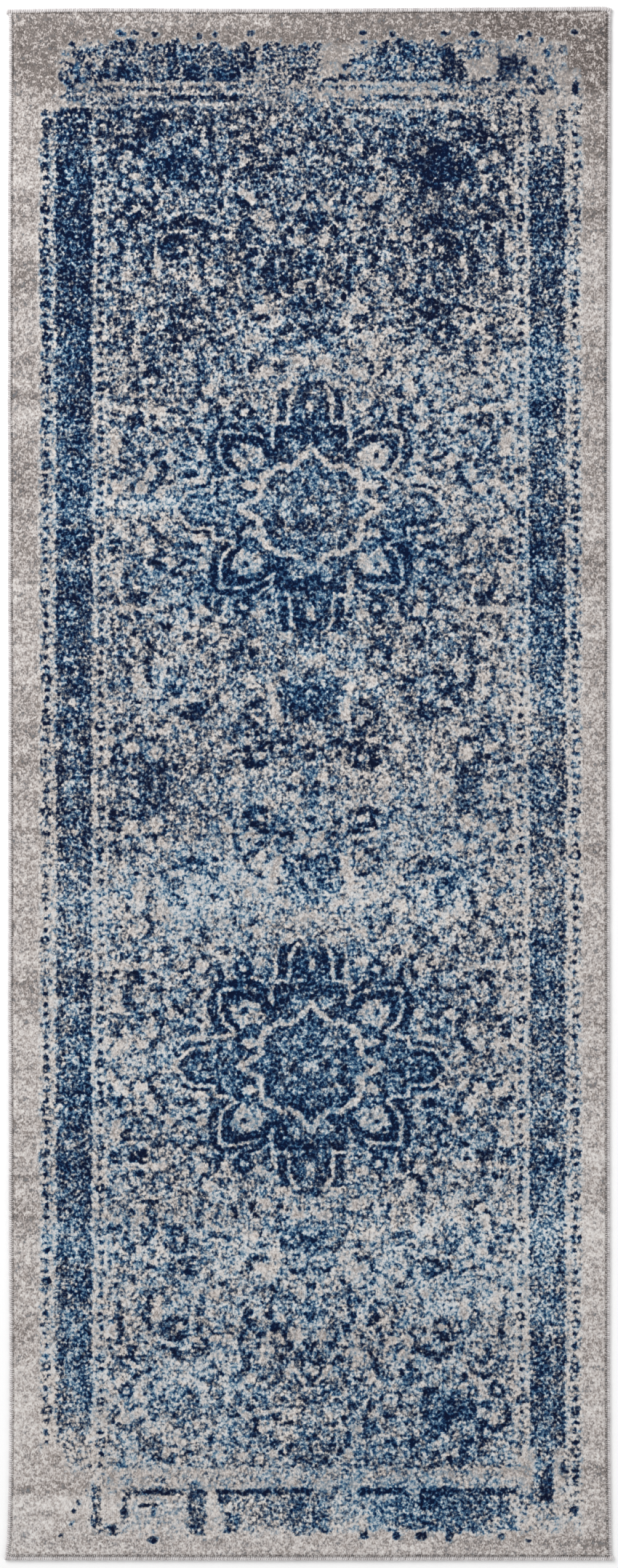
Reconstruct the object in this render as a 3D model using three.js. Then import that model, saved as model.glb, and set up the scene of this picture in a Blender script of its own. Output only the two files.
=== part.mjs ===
// A hall runner rug lying flat: one woven cut-pile cloth with a serged
// (yarn-overcast) edge on its two long sides and its two ends.
//
// Frame: millimetres, +Z up, X across the width, Y along the length.
// The origin is at the centre of the underside, on the floor.

import * as THREE from "three";

// ---------------------------------------------------------------- dimensions
const PILE_HEIGHT = 9.0; // floor to the tips of the pile, backing included
const PILE_ROUNDING = 2.2; // how far the pile's edge leans over and rounds off
const SERGE_HEIGHT = 5.6; // height of the wrapped yarn edge
const SERGE_ROUNDING = 1.7; // rounding of its top edges
const SERGE_LEFT = 5.7; // width of the wrapped edge on each side
const SERGE_RIGHT = 5.8;
const SERGE_BOTTOM = 7.5;
const SERGE_TOP_AT_LEFT = 6.1; // the far end's edge grows wider towards +X
const SERGE_TOP_AT_RIGHT = 7.6;
const GAP = 0.3; // clearance between neighbouring pieces

// The outer outline of the rug, as uneven as a loom-woven, hand-cut rug is.
// Long sides: [y, x]. Ends: [x, y].
const LEFT_EDGE = [
  [-1010.8, -398.5], [-995.5, -397.1], [-974.5, -396.0], [-926.9, -394.5], [-869.7, -393.8], [-812.5, -393.4],
  [-755.3, -393.4], [-698.2, -393.5], [-641.0, -393.9], [-583.8, -394.1], [-526.6, -394.3], [-469.4, -394.1],
  [-412.3, -394.4], [-355.1, -394.5], [-297.9, -395.1], [-240.7, -394.8], [-183.5, -394.6], [-126.4, -394.6],
  [-69.2, -394.8], [-12.0, -394.8], [45.2, -394.7], [102.4, -394.6], [159.5, -394.6], [216.7, -395.0],
  [273.9, -395.2], [331.1, -395.0], [388.3, -395.1], [445.4, -395.3], [502.6, -395.7], [559.8, -395.3],
  [617.0, -395.4], [674.2, -395.3], [731.3, -395.3], [788.5, -395.2], [845.7, -394.6], [902.9, -394.3],
  [941.0, -394.0], [983.9, -394.1], [1005.8, -394.3],
];

const RIGHT_EDGE = [
  [-1010.8, 397.2], [-995.5, 397.0], [-974.5, 396.6], [-926.9, 396.0], [-869.7, 395.3], [-812.5, 395.0],
  [-755.3, 394.7], [-698.2, 394.8], [-641.0, 394.9], [-583.8, 395.0], [-526.6, 394.8], [-469.4, 394.7],
  [-412.3, 394.7], [-355.1, 394.8], [-297.9, 394.9], [-240.7, 394.8], [-183.5, 394.7], [-126.4, 394.7],
  [-69.2, 394.8], [-12.0, 394.8], [45.2, 394.6], [102.4, 394.5], [159.5, 394.7], [216.7, 394.7],
  [273.9, 394.6], [331.1, 394.4], [388.3, 394.3], [445.4, 394.3], [502.6, 394.4], [559.8, 394.2],
  [617.0, 394.6], [674.2, 394.9], [731.3, 395.0], [788.5, 395.3], [845.7, 395.6], [902.9, 395.6],
  [941.0, 395.9], [969.6, 396.1], [998.2, 396.1], [1010.6, 396.5],
];

const TOP_EDGE = [
  [-397.2, 1014.8], [-393.7, 1015.3], [-389.9, 1015.5], [-384.2, 1015.5], [-376.6, 1015.6], [-362.3, 1015.9],
  [-338.5, 1016.4], [-295.6, 1017.1], [-252.7, 1017.1], [-209.8, 1017.0], [-166.9, 1016.9], [-124.0, 1016.7],
  [-81.1, 1016.5], [-38.3, 1016.5], [4.6, 1016.8], [47.5, 1017.0], [90.4, 1017.4], [133.3, 1017.7],
  [176.2, 1018.1], [219.0, 1018.4], [261.9, 1018.7], [304.8, 1018.9], [347.7, 1019.3], [362.0, 1019.4],
  [376.3, 1019.6], [383.9, 1019.6], [389.6, 1019.1], [393.4, 1018.4], [396.3, 1016.7],
];

const BOTTOM_EDGE = [
  [-399.2, -1018.6], [-393.7, -1019.0], [-389.9, -1019.1], [-384.2, -1019.1], [-376.6, -1019.2], [-362.3, -1019.2],
  [-338.5, -1019.3], [-295.6, -1019.3], [-252.7, -1019.3], [-209.8, -1019.4], [-166.9, -1019.4], [-124.0, -1019.5],
  [-81.1, -1019.6], [-38.3, -1019.6], [4.6, -1019.6], [47.5, -1019.6], [90.4, -1019.7], [133.3, -1019.6],
  [176.2, -1019.5], [219.0, -1019.5], [261.9, -1019.5], [304.8, -1019.5], [347.7, -1019.5], [362.0, -1019.6],
  [376.3, -1019.6], [383.9, -1019.6], [389.6, -1019.6], [393.4, -1019.7], [399.2, -1019.3],
];


// ------------------------------------------------------------------- helpers
// Straight-line reading of a table at one position.
function at(table, s) {
  const last = table.length - 1;
  if (s <= table[0][0]) return table[0][1];
  if (s >= table[last][0]) return table[last][1];
  let i = 1;
  while (table[i][0] < s) i++;
  const [s0, v0] = table[i - 1];
  const [s1, v1] = table[i];
  return v0 + ((v1 - v0) * (s - s0)) / (s1 - s0);
}

const sergeTop = (x) =>
  THREE.MathUtils.mapLinear(x, -395, 395, SERGE_TOP_AT_LEFT, SERGE_TOP_AT_RIGHT);

// The line where the pile stops and the serged edge begins, on each side.
const pileLeft = (y) => at(LEFT_EDGE, y) + SERGE_LEFT;
const pileRight = (y) => at(RIGHT_EDGE, y) - SERGE_RIGHT;
const pileTop = (x) => at(TOP_EDGE, x) - sergeTop(x);
const pileBottom = (x) => at(BOTTOM_EDGE, x) + SERGE_BOTTOM;

// A flat piece: its plan outline (counter-clockwise), extruded up from the
// floor, with a rounded upper edge and a flat underside.
function flatPiece(name, outline, height, rounding, segments, material) {
  const shape = new THREE.Shape(outline.map(([x, y]) => new THREE.Vector2(x, y)));
  const geometry = new THREE.ExtrudeGeometry(shape, {
    depth: height - 2 * rounding,
    steps: 1,
    curveSegments: 1,
    bevelEnabled: true,
    bevelThickness: rounding,
    bevelSize: rounding,
    bevelOffset: -rounding,
    bevelSegments: segments,
  });
  geometry.translate(0, 0, rounding);
  const p = geometry.getAttribute("position");
  for (let i = 0; i < p.count; i++)
    if (p.getZ(i) < rounding + 1e-3) p.setZ(i, 0);
  geometry.computeVertexNormals();
  const mesh = new THREE.Mesh(geometry, material);
  mesh.name = name;
  return mesh;
}

// ------------------------------------------------------------------- corners
// Where the pile's long sides meet its ends.
const yLow = pileBottom(-390); // same level right across, within 0.6 mm
const yLowRight = pileBottom(390);
const yHighLeft = pileTop(-388);
const yHighRight = pileTop(388);

const inside = (table, low, high, margin) =>
  table.map(([s]) => s).filter((s) => s > low + margin && s < high - margin);

// ---------------------------------------------------------------- the pile
const sidesLeft = inside(LEFT_EDGE, yLow, yHighLeft, 7);
const sidesRight = inside(RIGHT_EDGE, yLowRight, yHighRight, 7);
const xLowLeft = pileLeft(yLow);
const xLowRight = pileRight(yLowRight);
const xHighLeft = pileLeft(yHighLeft);
const xHighRight = pileRight(yHighRight);

const pileOutline = [
  // near end, left to right
  [xLowLeft + 1.6, pileBottom(xLowLeft + 1.6)],
  ...inside(BOTTOM_EDGE, xLowLeft, xLowRight, 7).map((x) => [x, pileBottom(x)]),
  [xLowRight - 1.4, pileBottom(xLowRight - 1.4)],
  // right side, upwards
  [pileRight(yLowRight + 1.4), yLowRight + 1.4],
  ...sidesRight.map((y) => [pileRight(y), y]),
  // far right corner, a little rounded
  [pileRight(yHighRight - 5.5), yHighRight - 5.5],
  [xHighRight - 1.7, yHighRight - 1.7],
  [xHighRight - 5.5, pileTop(xHighRight - 5.5)],
  // far end, right to left
  ...inside(TOP_EDGE, xHighLeft, xHighRight, 7)
    .reverse()
    .map((x) => [x, pileTop(x)]),
  [xHighLeft + 1.5, pileTop(xHighLeft + 1.5)],
  // left side, downwards
  [pileLeft(yHighLeft - 1.5), yHighLeft - 1.5],
  ...sidesLeft.reverse().map((y) => [pileLeft(y), y]),
  [pileLeft(yLow + 1.6), yLow + 1.6],
];

// -------------------------------------------------------------- serged edges
// The two end strips run right across, over the ends of the two side strips.
const leftOutline = [
  [at(LEFT_EDGE, yLow), yLow],
  [pileLeft(yLow) - GAP, yLow],
  ...inside(LEFT_EDGE, yLow, yHighLeft, 3).map((y) => [pileLeft(y) - GAP, y]),
  [pileLeft(yHighLeft) - GAP, yHighLeft],
  [at(LEFT_EDGE, yHighLeft), yHighLeft],
  ...inside(LEFT_EDGE, yLow, yHighLeft, 3)
    .reverse()
    .map((y) => [at(LEFT_EDGE, y), y]),
];

const rightOutline = [
  [pileRight(yLowRight) + GAP, yLowRight],
  [at(RIGHT_EDGE, yLowRight), yLowRight],
  ...inside(RIGHT_EDGE, yLowRight, yHighRight, 3).map((y) => [at(RIGHT_EDGE, y), y]),
  [at(RIGHT_EDGE, yHighRight), yHighRight],
  [pileRight(yHighRight) + GAP, yHighRight],
  ...inside(RIGHT_EDGE, yLowRight, yHighRight, 3)
    .reverse()
    .map((y) => [pileRight(y) + GAP, y]),
];

const topOutline = [
  [-396.2, pileTop(-388) + GAP],
  ...inside(TOP_EDGE, -393, 393, 4).map((x) => [x, pileTop(x) + GAP]),
  [396.6, pileTop(388) + GAP],
  ...[...TOP_EDGE].reverse(),
];

const bottomOutline = [
  ...BOTTOM_EDGE,
  [398.6, pileBottom(390) - GAP],
  ...inside(BOTTOM_EDGE, -398.2, 398.6, 4)
    .reverse()
    .map((x) => [x, pileBottom(x) - GAP]),
  [-398.6, pileBottom(-390) - GAP],
];

// --------------------------------------------------------------------- parts
const pileYarn = new THREE.MeshStandardMaterial({
  color: new THREE.Color(0.3, 0.37, 0.47),
  roughness: 0.95,
  metalness: 0,
});
const edgeYarn = () =>
  new THREE.MeshStandardMaterial({
    color: new THREE.Color(0.52, 0.5, 0.5),
    roughness: 0.9,
    metalness: 0,
  });

const rug = new THREE.Group();
rug.add(
  flatPiece("rug_body", pileOutline, PILE_HEIGHT, PILE_ROUNDING, 2, pileYarn),
  flatPiece("serging_left", leftOutline, SERGE_HEIGHT, SERGE_ROUNDING, 2, edgeYarn()),
  flatPiece("serging_right", rightOutline, SERGE_HEIGHT, SERGE_ROUNDING, 2, edgeYarn()),
  flatPiece("serging_top", topOutline, SERGE_HEIGHT, SERGE_ROUNDING, 2, edgeYarn()),
  flatPiece("serging_bottom", bottomOutline, SERGE_HEIGHT, SERGE_ROUNDING, 2, edgeYarn()),
);

export default rug;
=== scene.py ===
# A hall runner rug lying flat on the floor: a close cut pile in a worn, mirrored
# medallion design, with a serged (yarn-wrapped) edge all round.
# Metres, +Z up, X across the width, Y along the length.
import math

import bpy
import numpy as np
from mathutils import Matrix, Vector


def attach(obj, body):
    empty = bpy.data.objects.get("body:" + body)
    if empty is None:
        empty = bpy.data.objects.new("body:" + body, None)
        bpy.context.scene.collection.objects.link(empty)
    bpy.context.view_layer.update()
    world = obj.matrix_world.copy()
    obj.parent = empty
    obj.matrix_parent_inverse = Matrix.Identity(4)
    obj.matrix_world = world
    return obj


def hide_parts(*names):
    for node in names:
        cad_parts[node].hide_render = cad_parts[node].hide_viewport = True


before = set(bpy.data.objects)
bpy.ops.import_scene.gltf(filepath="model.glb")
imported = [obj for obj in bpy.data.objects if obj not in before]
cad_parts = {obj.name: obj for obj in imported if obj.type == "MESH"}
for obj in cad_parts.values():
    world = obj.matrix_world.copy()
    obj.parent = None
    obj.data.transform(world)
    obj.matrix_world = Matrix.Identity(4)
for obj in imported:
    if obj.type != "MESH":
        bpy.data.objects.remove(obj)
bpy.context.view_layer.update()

# ---------------------------------------------------------------- the design
# The rug's design is drawn in its own units, 0.953 mm each.  It is
# mirrored left to right and end to end, so only one quarter is listed.
# Kinds of yarn:  n navy, m dark blue, b blue, l pale blue, t grey blue, c cream
#   B kind u w ru [rw]         a spot
#   S kind width u w u w ...   a stroke
#   R kind u w r [thickness]   a ring with a paler middle
#   P kind u w u w ...         a filled shape
MEDALLION = """
P m 0 0 184 0 180 9 172 19 164 27 146 30 140 32 141 48 132 50 138 66 140 86 137 104 128 116 100 117 74 122 58 112 50 122 46 140 44 160 34 170 16 176 0 178
P b 130 0 178 0 174 8 166 16 160 22 138 21 132 12
B b 12 48 12 18; B b 62 6 10 6; B t 34 30 22 9; B m 34 48 12 8; B b 84 50 10 8; B b 112 24 16 16; B l 134 12 4 6; B b 150 8 12 6
B n 21 4 4 7; B l 4 2 6 5; B n 5 18 8 3.5; B l 35 8 6 5; B n 47 4 4 6; B n 76 10 8 3; B n 87 3 5 4; B l 26 17 6 4
B n 40 15 6 5; B n 45 22 5 5; B n 20 24 9 3; B n 55 32 5 5; B n 70 30 5 2.5; B n 5 40 4; B n 15 46 4; B n 12 58 4; B n 3 63 3; B n 38 54 4
B m 0 30 5; B l 22 34 7 4; B l 40 31 6 4; B b 34 45 7 5
B t 20 86 13 11; B m 66 66 9 8; B l 68 72 5 4
S c 8 0 87 8 76 20 64 29 58 41 61 52 55 63 51 68 42 65 34 71 24 67 18 77 12 88 6 98 1
B c 86 32 10 7; B c 75 33 6 4; B c 60 48 8 6
S n 6 79 19 90 24 98 29; S n 8 100 30 102 37 98 43; B n 101 11 5 4; B n 120 7 5 3.5; B n 127 25 4 7; B n 125 37 6 4; B l 113 30 7 6; B t 110 18 8 5
P c 62 66 72 56 86 56 98 50 106 62 109 78 106 90 92 92 78 90 70 84
B b 80 54 9 6; B b 94 47 7 5; B t 64 67 8 6; B n 91 76 5 4.5; B m 101 87 4.5; B t 80 66 5 4
S n 12 103 54 111 63 116 74 117 86 114 97 98 99 80 97 68 92 58 83 46 82 38 88
S n 12 40 86 43 98 40 110; B n 34 108 8 6; B l 35 97 4 3; R t 20 86 11 4; B n 8 92 3; B n 25 106 4; B n 10 108 4; B n 4 120 4
B m 15 135 12 14; B b 14 130 7 10; B n 25 131 4 5; B n 25 146 4 5; B n 13 157 10 6; B c 2 142 4 9; B t 5 165 6 6; B l 18 118 8 4
S n 9 38 121 40 136 38 150 37 162; S n 7 140 33 155 32 168 28 175 25; B n 173 26 5 4
S n 9 116 51 126 54 132 62 136 73 137 84 134 96 132 106 124 113 106 115
S c 5 187 2 183 8 177 14 171 21 164 25.5 150 26 135 26.5 134 41 120 43 108 45 104 50 113 55 120 63 124 72 125 84 125 96 124 107 105 107 86 106 70 103 60 98 55 92
S c 6 53 87 54 100 53 117 46 118 32 118 30 130 30 150 26 160 18 168
S n 9 139 18 158 19 167 13 172 5 179 0; S m 8 123 2 148 2
B c 49 132 4 10; S b 9 61 112 63 135; B m 58 143 7 4; B t 70 122 6 5
S n 7 63 101 72 108 84 116; S c 4 59 108 70 117 80 122; B t 88 110 8 4
R n 92 134 14 8; B c 92 134 5; S m 4 90 147 95 153; S c 5 117 119 116 140; B t 104 148 7 4
S n 9 122 122 126 133 128 142; S n 8 145 122 141 131 137 138; B t 134 128 4 6; B c 70 143 10 7; B c 150 140 9 9; B c 120 150 8 4
B c 155 40 11 5; S c 6 149 42 148 58; B n 170 50 17 6; B b 180 47 7 5; B n 151 63 4; B t 190 40 8 7; B n 186 63 4 3; B l 170 60 12 4
B n 183 16 5; B n 206 40 5 5; S n 9 206 40 203 50 205 62; S n 7 158 75 164 71 172 70 180 76 191 82
B m 165 87 6; B c 195 72 8; B c 150 74 8; B t 152 85 7 4; B t 178 100 18 12; R m 183 98 12 4; B n 155 97 4; S n 6 150 103 158 107 166 112; B n 186 106 4
S n 6 172 118 167 126; B c 150 115 7 4; S m 5 200 106 215 109; S n 6 177 132 167 136 163 145 168 150; B t 190 140 14 9; B n 192 136 4; B c 173 144 5 6
S n 6 137 150 146 150 151 157 155 168; B n 118 160 8 6; B n 95 154 3; B t 75 158 13 8; B t 100 163 8 6; B n 197 163 5; B n 171 173 6 4; B c 135 165 10 6
B t 225 42 18 6; B c 232 28 9 8; B c 222 50 7 10; S c 11 256 36 276 14; B c 268 88 8 24; S c 9 205 136 245 137 268 138
S n 10 222 20 217 31 207 40 203 51 202 60 211 64; S n 8 202 77 212 75 220 70
S m 7 226 62 237 65 246 68 253 64 262 67 274 72
S m 10 233 71 245 79 252 88 256 97 249 108 246 118; B n 243 122 12 9; B n 230 118 5; B n 233 131 6 4; B n 215 127 5 4; B n 210 108 7 4
S m 5 221 97 228 88 233 82; B n 255 95 6 5; B m 248 85 6
B n 262 44 4; B n 272 45 4; B n 262 53 4; B n 270 56 5 4; B m 267 49 5
B n 276 29 4 3; B m 245 24 5 4; B t 246 32 3 6; B m 245 51 4 7
B n 272 120 7 5; B n 269 130 4 3; B n 236 148 6 6; B m 256 151 7 5; S t 5 275 142 272 165
B n 243 170 5 5; S m 5 200 165 207 155; B t 216 156 6 8
S m 5 250 15 262 13 268 10; B m 215 12 6 3; B m 229 20 6 3; B m 237 16 4
"""

MIDDLE = """
B m 0 128 38 31; B b 0 128 26 20; R n 0 128 14 5; B l 0 128 8 7; B c 0 90 12 6; B c 40 160 10 6
B n 8 7 5; B n 30 2 4; B b 3 13 6; B t 38 12 8; B c 20 15 7; B c 60 22 9; B c 100 10 9
B b 123 8 6; B t 120 29 12 14; B n 110 37 4
B c 68 43 14 10; R n 74 42 15 8; S n 8 62 32 72 27 82 30 93 37; B n 68 52 5; B n 85 50 5; B n 90 56 4; B c 68 43 5; B n 104 52 6 4
S n 6 53 40 54 58; B n 37 47 6 5; B n 3 43 5; S n 5 3 58 15 54; S n 6 28 62 40 65 55 60 80 63; B c 10 68 8 9
B n 24 70 5 3.5; B b 47 76 6; S n 7 60 77 78 75; B c 85 70 9; B n 85 72 3; S m 8 103 66 108 75 98 84
B t 172 45 42 30; B n 150 24 4; B n 188 27 5; B n 205 5 5; B n 205 36 4; S m 7 200 45 202 60; B t 157 67 9 6; B n 215 68 4
B c 115 55 8; B l 122 83 8 4; B l 173 83 10 5; B n 165 85 3; S n 3 25 92 38 87 48 92; B n 15 97 10 6; B n 35 100 5; B m 34 115 4 7
B t 10 110 14 12; S c 12 45 96 47 110 52 122 52 135; B c 68 95 8; S n 6 60 90 59 98
S n 9 77 87 85 90 90 98 88 108 80 115 70 119; R t 113 107 8; S n 5 131 99 150 92
S n 12 150 104 162 99 175 101 188 107; S m 9 128 123 140 115 155 116 170 110
B c 160 122 8 5; B c 185 118 9 5; B c 120 125 7; B m 155 135 5 6
B m 187 143 17 19; B n 183 128 7 5; B n 200 125 6; B n 205 145 5; B n 175 158 6; B n 178 165 4; B n 198 162 6; B c 181 144 4
B b 32 136 10 8; B l 15 150 15 8; B m 5 155 5; B c 12 177 15 7; B n 42 130 4 3; B t 65 132 6 4; B b 85 132 7 3
B c 80 145 12 8; B c 55 140 6; B l 60 152 9 8; B m 113 146 5; B m 125 138 7 4; S m 7 141 138 143 156; B n 131 149 5
S m 6 77 162 90 168 100 165 108 160; R m 43 168 7; B l 55 172 6; B m 80 180 6; B n 83 190 4; B m 107 183 5 10; B n 97 193 5
S t 4 137 165 131 180 127 192 122 204; S b 9 153 168 154 186; B m 150 199 8 8; B n 145 206 4; B t 168 183 6 7; B n 207 187 4; B n 170 209 6 4
B t 12 205 8; B n 47 204 3; B t 60 203 7; B n 83 209 4; B t 95 205 6; B c 30 208 8; B c 70 200 8
B m 218 20 22 24; B n 207 5 6 6; B n 222 3 5 4; B m 228 12 5; B n 208 20 5; B n 220 23 8 5; B n 230 40 7 9; B m 240 30 6 7
B n 255 35 5 5; B n 272 38 5 6; B n 243 42 3; R n 267 54 8 4; R n 266 18 6 3; B n 245 14 5 4; B n 290 3 3; R n 288 27 6 5; B n 288 41 4; R m 289 53 5
B c 212 48 8 10; B c 248 56 11 7; B c 280 66 9 8; B c 283 100 6 16; B c 205 78 10 5
B n 216 66 5 4; B n 226 66 4; S m 5 242 78 248 72 253 67; B t 235 73 4; B t 243 90 8; B t 215 88 14 8
B n 265 87 5 4; B m 267 78 4 6; B m 257 85 4; B n 292 87 5 3; B n 285 82 3; B n 238 86 3; S n 5 240 100 248 98
B t 212 108 6; B m 205 117 5; B n 220 120 5 4; B n 237 117 5 3; B t 268 105 5; B t 270 115 5 6; B b 246 126 6 5; B m 290 111 5 3; B t 290 125 4
S b 7 250 150 257 142 268 139 282 141; B m 268 138 6 4; R m 290 142 6
S n 8 215 138 222 145 225 155 222 165 228 172 222 182 216 190 220 196; B b 204 143 6 8; B n 251 163 4 5; S n 8 240 178 247 184
R m 267 158 6; B n 206 187 3; R t 288 172 6; B n 288 184 3; R t 266 185 8; B n 262 190 3; B n 275 190 3; B m 212 190 5; B b 268 202 5
B n 245 210 6 4; B n 272 210 3; B t 210 205 5; B m 225 205 6 4; R t 290 200 6; B c 238 150 7 8; B c 240 196 8 6; B c 204 165 7 12
"""

ENDS = """
B b 0 250 36 30; B m 0 250 20 16; B l 0 250 8 8; B m 0 415 26 26; B b 0 340 20 18
B n 14 162 5; B n 40 162 6 4; S n 4 5 178 15 177; B c 33 172 7; B c 66 187 12 10; B c 15 203 14 6; R t 53 178 7
S b 6 68 165 66 178; S t 6 97 165 97 178; B m 120 163 6 4; B t 38 187 7 5; S n 4 32 197 45 192 48 200
S n 7 82 190 82 200 76 206; B n 97 188 5 4; S n 8 106 194 108 206; B b 43 213 8 5; B t 58 207 4; S t 5 80 218 90 222 96 226 108 218
S t 4 122 180 127 192 131 205 136 218; S m 10 143 177 152 188 150 200 153 212 152 219; B n 155 168 5; B n 171 174 5 4
S m 8 195 170 203 163; B t 190 194 27 16; R t 170 200 5
B m 186 238 19 20; B n 183 220 6 5; B n 200 220 5; B n 207 237 5; B n 172 235 5; B n 196 250 6; B n 178 252 6; B c 180 238 4; B l 195 237 4
B l 5 228 6; B b 13 233 6; B t 17 219 6; S b 6 22 232 35 228; B n 46 229 4 3; R t 64 231 7; B c 80 232 10 9; S t 5 95 233 93 242
S m 9 112 236 122 230 135 230 144 235; S n 5 118 248 128 244 140 246; S m 5 157 243 150 253; B n 148 226 3
B n 36 246 5 6; B n 5 243 6 7; R m 18 265 20 6; B l 18 265 9; B m 66 247 5 4; B m 85 248 6 3; B t 101 253 5; S m 7 128 256 140 262 150 268
B n 170 275 22 11; B n 188 270 7; B n 162 267 6; B n 165 285 10 5; S c 14 48 258 50 275 60 288; B c 70 278 8 6
S n 9 63 263 78 263 87 270 85 280; B n 93 284 4; S m 9 86 291 82 299; R t 111 267 9; B t 120 278 4 6; B t 107 283 4
B n 135 285 6 4; S n 4 138 290 145 298; S n 5 124 296 118 300 130 303 140 300; B l 150 300 8 5; B t 172 296 5 4; S m 4 180 300 190 292 203 287
B t 197 310 19 15; S t 6 170 308 167 322; B m 10 283 5; B n 25 282 4; B t 35 288 5; B n 3 300 4; B n 45 295 4; B n 50 304 7; B n 70 305 8 4
S n 4 17 315 28 313; B n 37 318 7 5; S n 6 53 318 53 345; B n 65 319 5 3; B b 62 328 5; B n 60 342 5; B l 72 335 6; B n 88 325 5
S n 10 84 334 90 345 82 353; S t 6 102 298 103 312; B t 117 325 14; B m 117 330 5; B c 135 312 8; S m 9 152 318 150 330 153 341
B t 35 325 6; B t 40 335 6; B m 5 340 5; B n 29 356 7 6; B n 49 359 6 7; S n 5 38 365 35 376; B l 8 355 6; B c 15 370 10 7; B c 62 375 6
B n 70 370 4 5; S n 8 96 357 93 368 98 379; B n 112 357 4; B b 127 352 10 5; S n 6 142 350 140 362; S n 5 108 368 120 370 135 368 143 375
B c 130 375 8 5; B c 113 375 6; B n 156 364 5 6; S n 8 148 377 143 385 140 393
B n 187 361 19 19; B c 180 358 5; B c 160 378 6; S c 6 185 385 200 380; S n 14 150 390 165 395 175 400 190 392; B n 160 384 5
B t 205 385 5; B n 5 383 6 4; B n 30 385 5 8; B n 22 395 7 4; B n 49 390 5 6; B n 40 402 6; B n 30 408 4; R m 4 415 12 5; B c 4 415 6
B c 62 392 14 8; B c 65 405 8; S n 8 70 383 80 388 83 398; B n 93 394 3; S n 10 90 405 88 415 92 422; B t 55 410 6; R t 112 398 8
B c 128 398 10 7; B n 135 412 5; B n 126 420 5; B n 145 418 4; B b 135 425 7; B m 148 427 5 7; B m 137 435 7; B l 140 445 6
S m 8 103 425 110 430; S n 5 62 430 75 430; B c 85 430 7; B c 95 437 6; S n 8 45 425 48 436; B c 30 425 6; S n 3 20 436 27 434
B n 37 443 8 4; S c 8 10 432 20 420 25 410; S n 5 103 451 97 456; S b 5 60 448 80 448; S b 7 65 455 85 453 86 462; B n 84 469 8 6
S n 8 122 450 124 462 118 472; B t 108 465 6; S n 6 98 481 112 481; B n 57 468 6 4; B n 35 459 5 4; B m 5 460 5; B t 10 470 6
B t 135 472 11 28; B m 175 470 27 30; B n 158 448 6; B n 163 465 6; B n 160 476 5; B n 187 480 7; B n 190 488 5; B c 158 492 4; B b 193 450 14 7
B n 208 460 5; B n 45 483 7 5; B n 28 491 6 4; S n 8 77 484 75 495 75 508; B m 87 495 6; B c 25 478 6; B c 65 500 6; B c 87 480 5
B t 118 505 10 5; B m 107 517 8 7; B m 139 515 6 8; B m 158 503 10 5; B n 172 507 5; B n 5 510 4; B t 12 507 6; B c 40 508 4
S b 5 52 500 52 520; B n 27 520 6 3; B m 48 520 5; B n 168 533 6 5; B n 193 540 6; B c 90 535 10 4; B c 50 535 7; B c 200 530 6
B n 40 530 4; B n 58 562 6 3; S t 5 110 560 150 560; S t 5 165 562 190 562; B n 22 592 5 3; B n 42 592 5 3; B n 55 593 5 3
B m 115 595 14 6; B b 160 593 12 6; B t 75 590 10 6; B m 260 605 7; B n 215 605 8 6; B n 185 620 5; B b 12 630 6
B c 232 193 5 6; B c 240 215 8 12; B c 232 251 8 6; B c 210 335 6 16; B c 255 322 5 12; B c 215 270 6 4; B c 272 362 6 8; B c 253 485 7 8
B m 242 171 4 5; S n 8 212 187 229 187; S m 10 218 192 222 205 217 213; S n 9 215 220 231 219; B m 222 229 10 11; B n 228 243 6 3; B n 243 200 5 4
B n 252 217 5; B n 252 228 3; B t 265 195 8 12; B n 288 195 5 4; B n 285 207 3; B b 270 225 12 8; B m 285 225 8 6; B n 255 237 4; B n 272 240 5 4
B m 248 248 6 8; B n 247 252 5; B n 267 257 5 4; B m 258 270 6 4; B b 235 268 6 6; B t 205 263 5; B m 220 260 5 4; S n 6 207 283 215 278 222 275
R b 289 253 5; B t 290 265 4; B b 290 283 8 6; B t 252 289 22 10; B n 245 293 4 5; B n 268 302 4 3
S n 10 214 308 221 322 224 335 220 353; R n 226 343 8 6; B n 226 310 5; B n 243 322 4 3; S m 9 268 325 266 338 264 348; B n 264 348 5
B t 245 350 5 4; R t 290 310 5; B n 292 340 6 3; B m 285 338 4; B n 289 357 3
B m 203 357 6 10; S m 8 220 345 222 358 218 368; B n 226 350 5; B n 235 372 5 3; B t 222 380 4; B t 245 365 3 10; B n 293 356 3
S n 7 262 352 260 360 264 372 264 380; B t 288 368 6 4; B t 287 380 4; B n 275 387 2.5; B n 243 388 4; B n 250 386 3
S n 12 226 396 232 402 240 405 249 400; B b 237 403 4; B n 222 395 5; B n 246 392 4 6; B n 215 406 4; B m 203 387 5 6
S n 11 223 417 231 424 238 426 243 421; S m 9 243 420 252 415 260 410 266 402; B n 258 401 3.5 4; B n 275 420 4 4; B m 273 428 4 3
B t 290 400 6; B t 288 415 5; B n 290 428 4; S t 5 203 415 205 430; B n 212 425 3 6; S c 5 238 413 250 406; B c 212 440 6 6
B n 200 445 3; B n 203 452 4; R m 222 446 8 5; R n 255 446 11 5; B n 253 438 8 3; B c 276 440 5 8; S c 5 236 436 236 456
B m 211 470 15 16; B n 207 460 8 5; B b 215 475 7 8; B n 218 483 5; B n 201 468 4; B n 240 463 7 4; B n 245 470 4; B t 237 475 5
S n 9 268 470 273 480 272 489 263 497 250 500 240 495 232 486; B n 265 475 5 5; B t 215 503 5; B n 235 510 5 6; S n 7 236 500 238 515 232 528
B m 215 522 12 18; B n 212 540 6 5; B t 262 515 5; B n 265 512 3; B n 275 517 3; B n 293 508 3; B n 232 530 4 3; B c 286 525 6 8
"""

# how much yarn of the dark side each kind has, and how blue it is
KIND = {"n": (0.82, 0.28), "m": (0.72, 0.45), "b": (0.56, 0.85), "l": (0.34, 0.70), "t": (0.50, 0.20), "c": (0.12, 0.10)}


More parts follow.
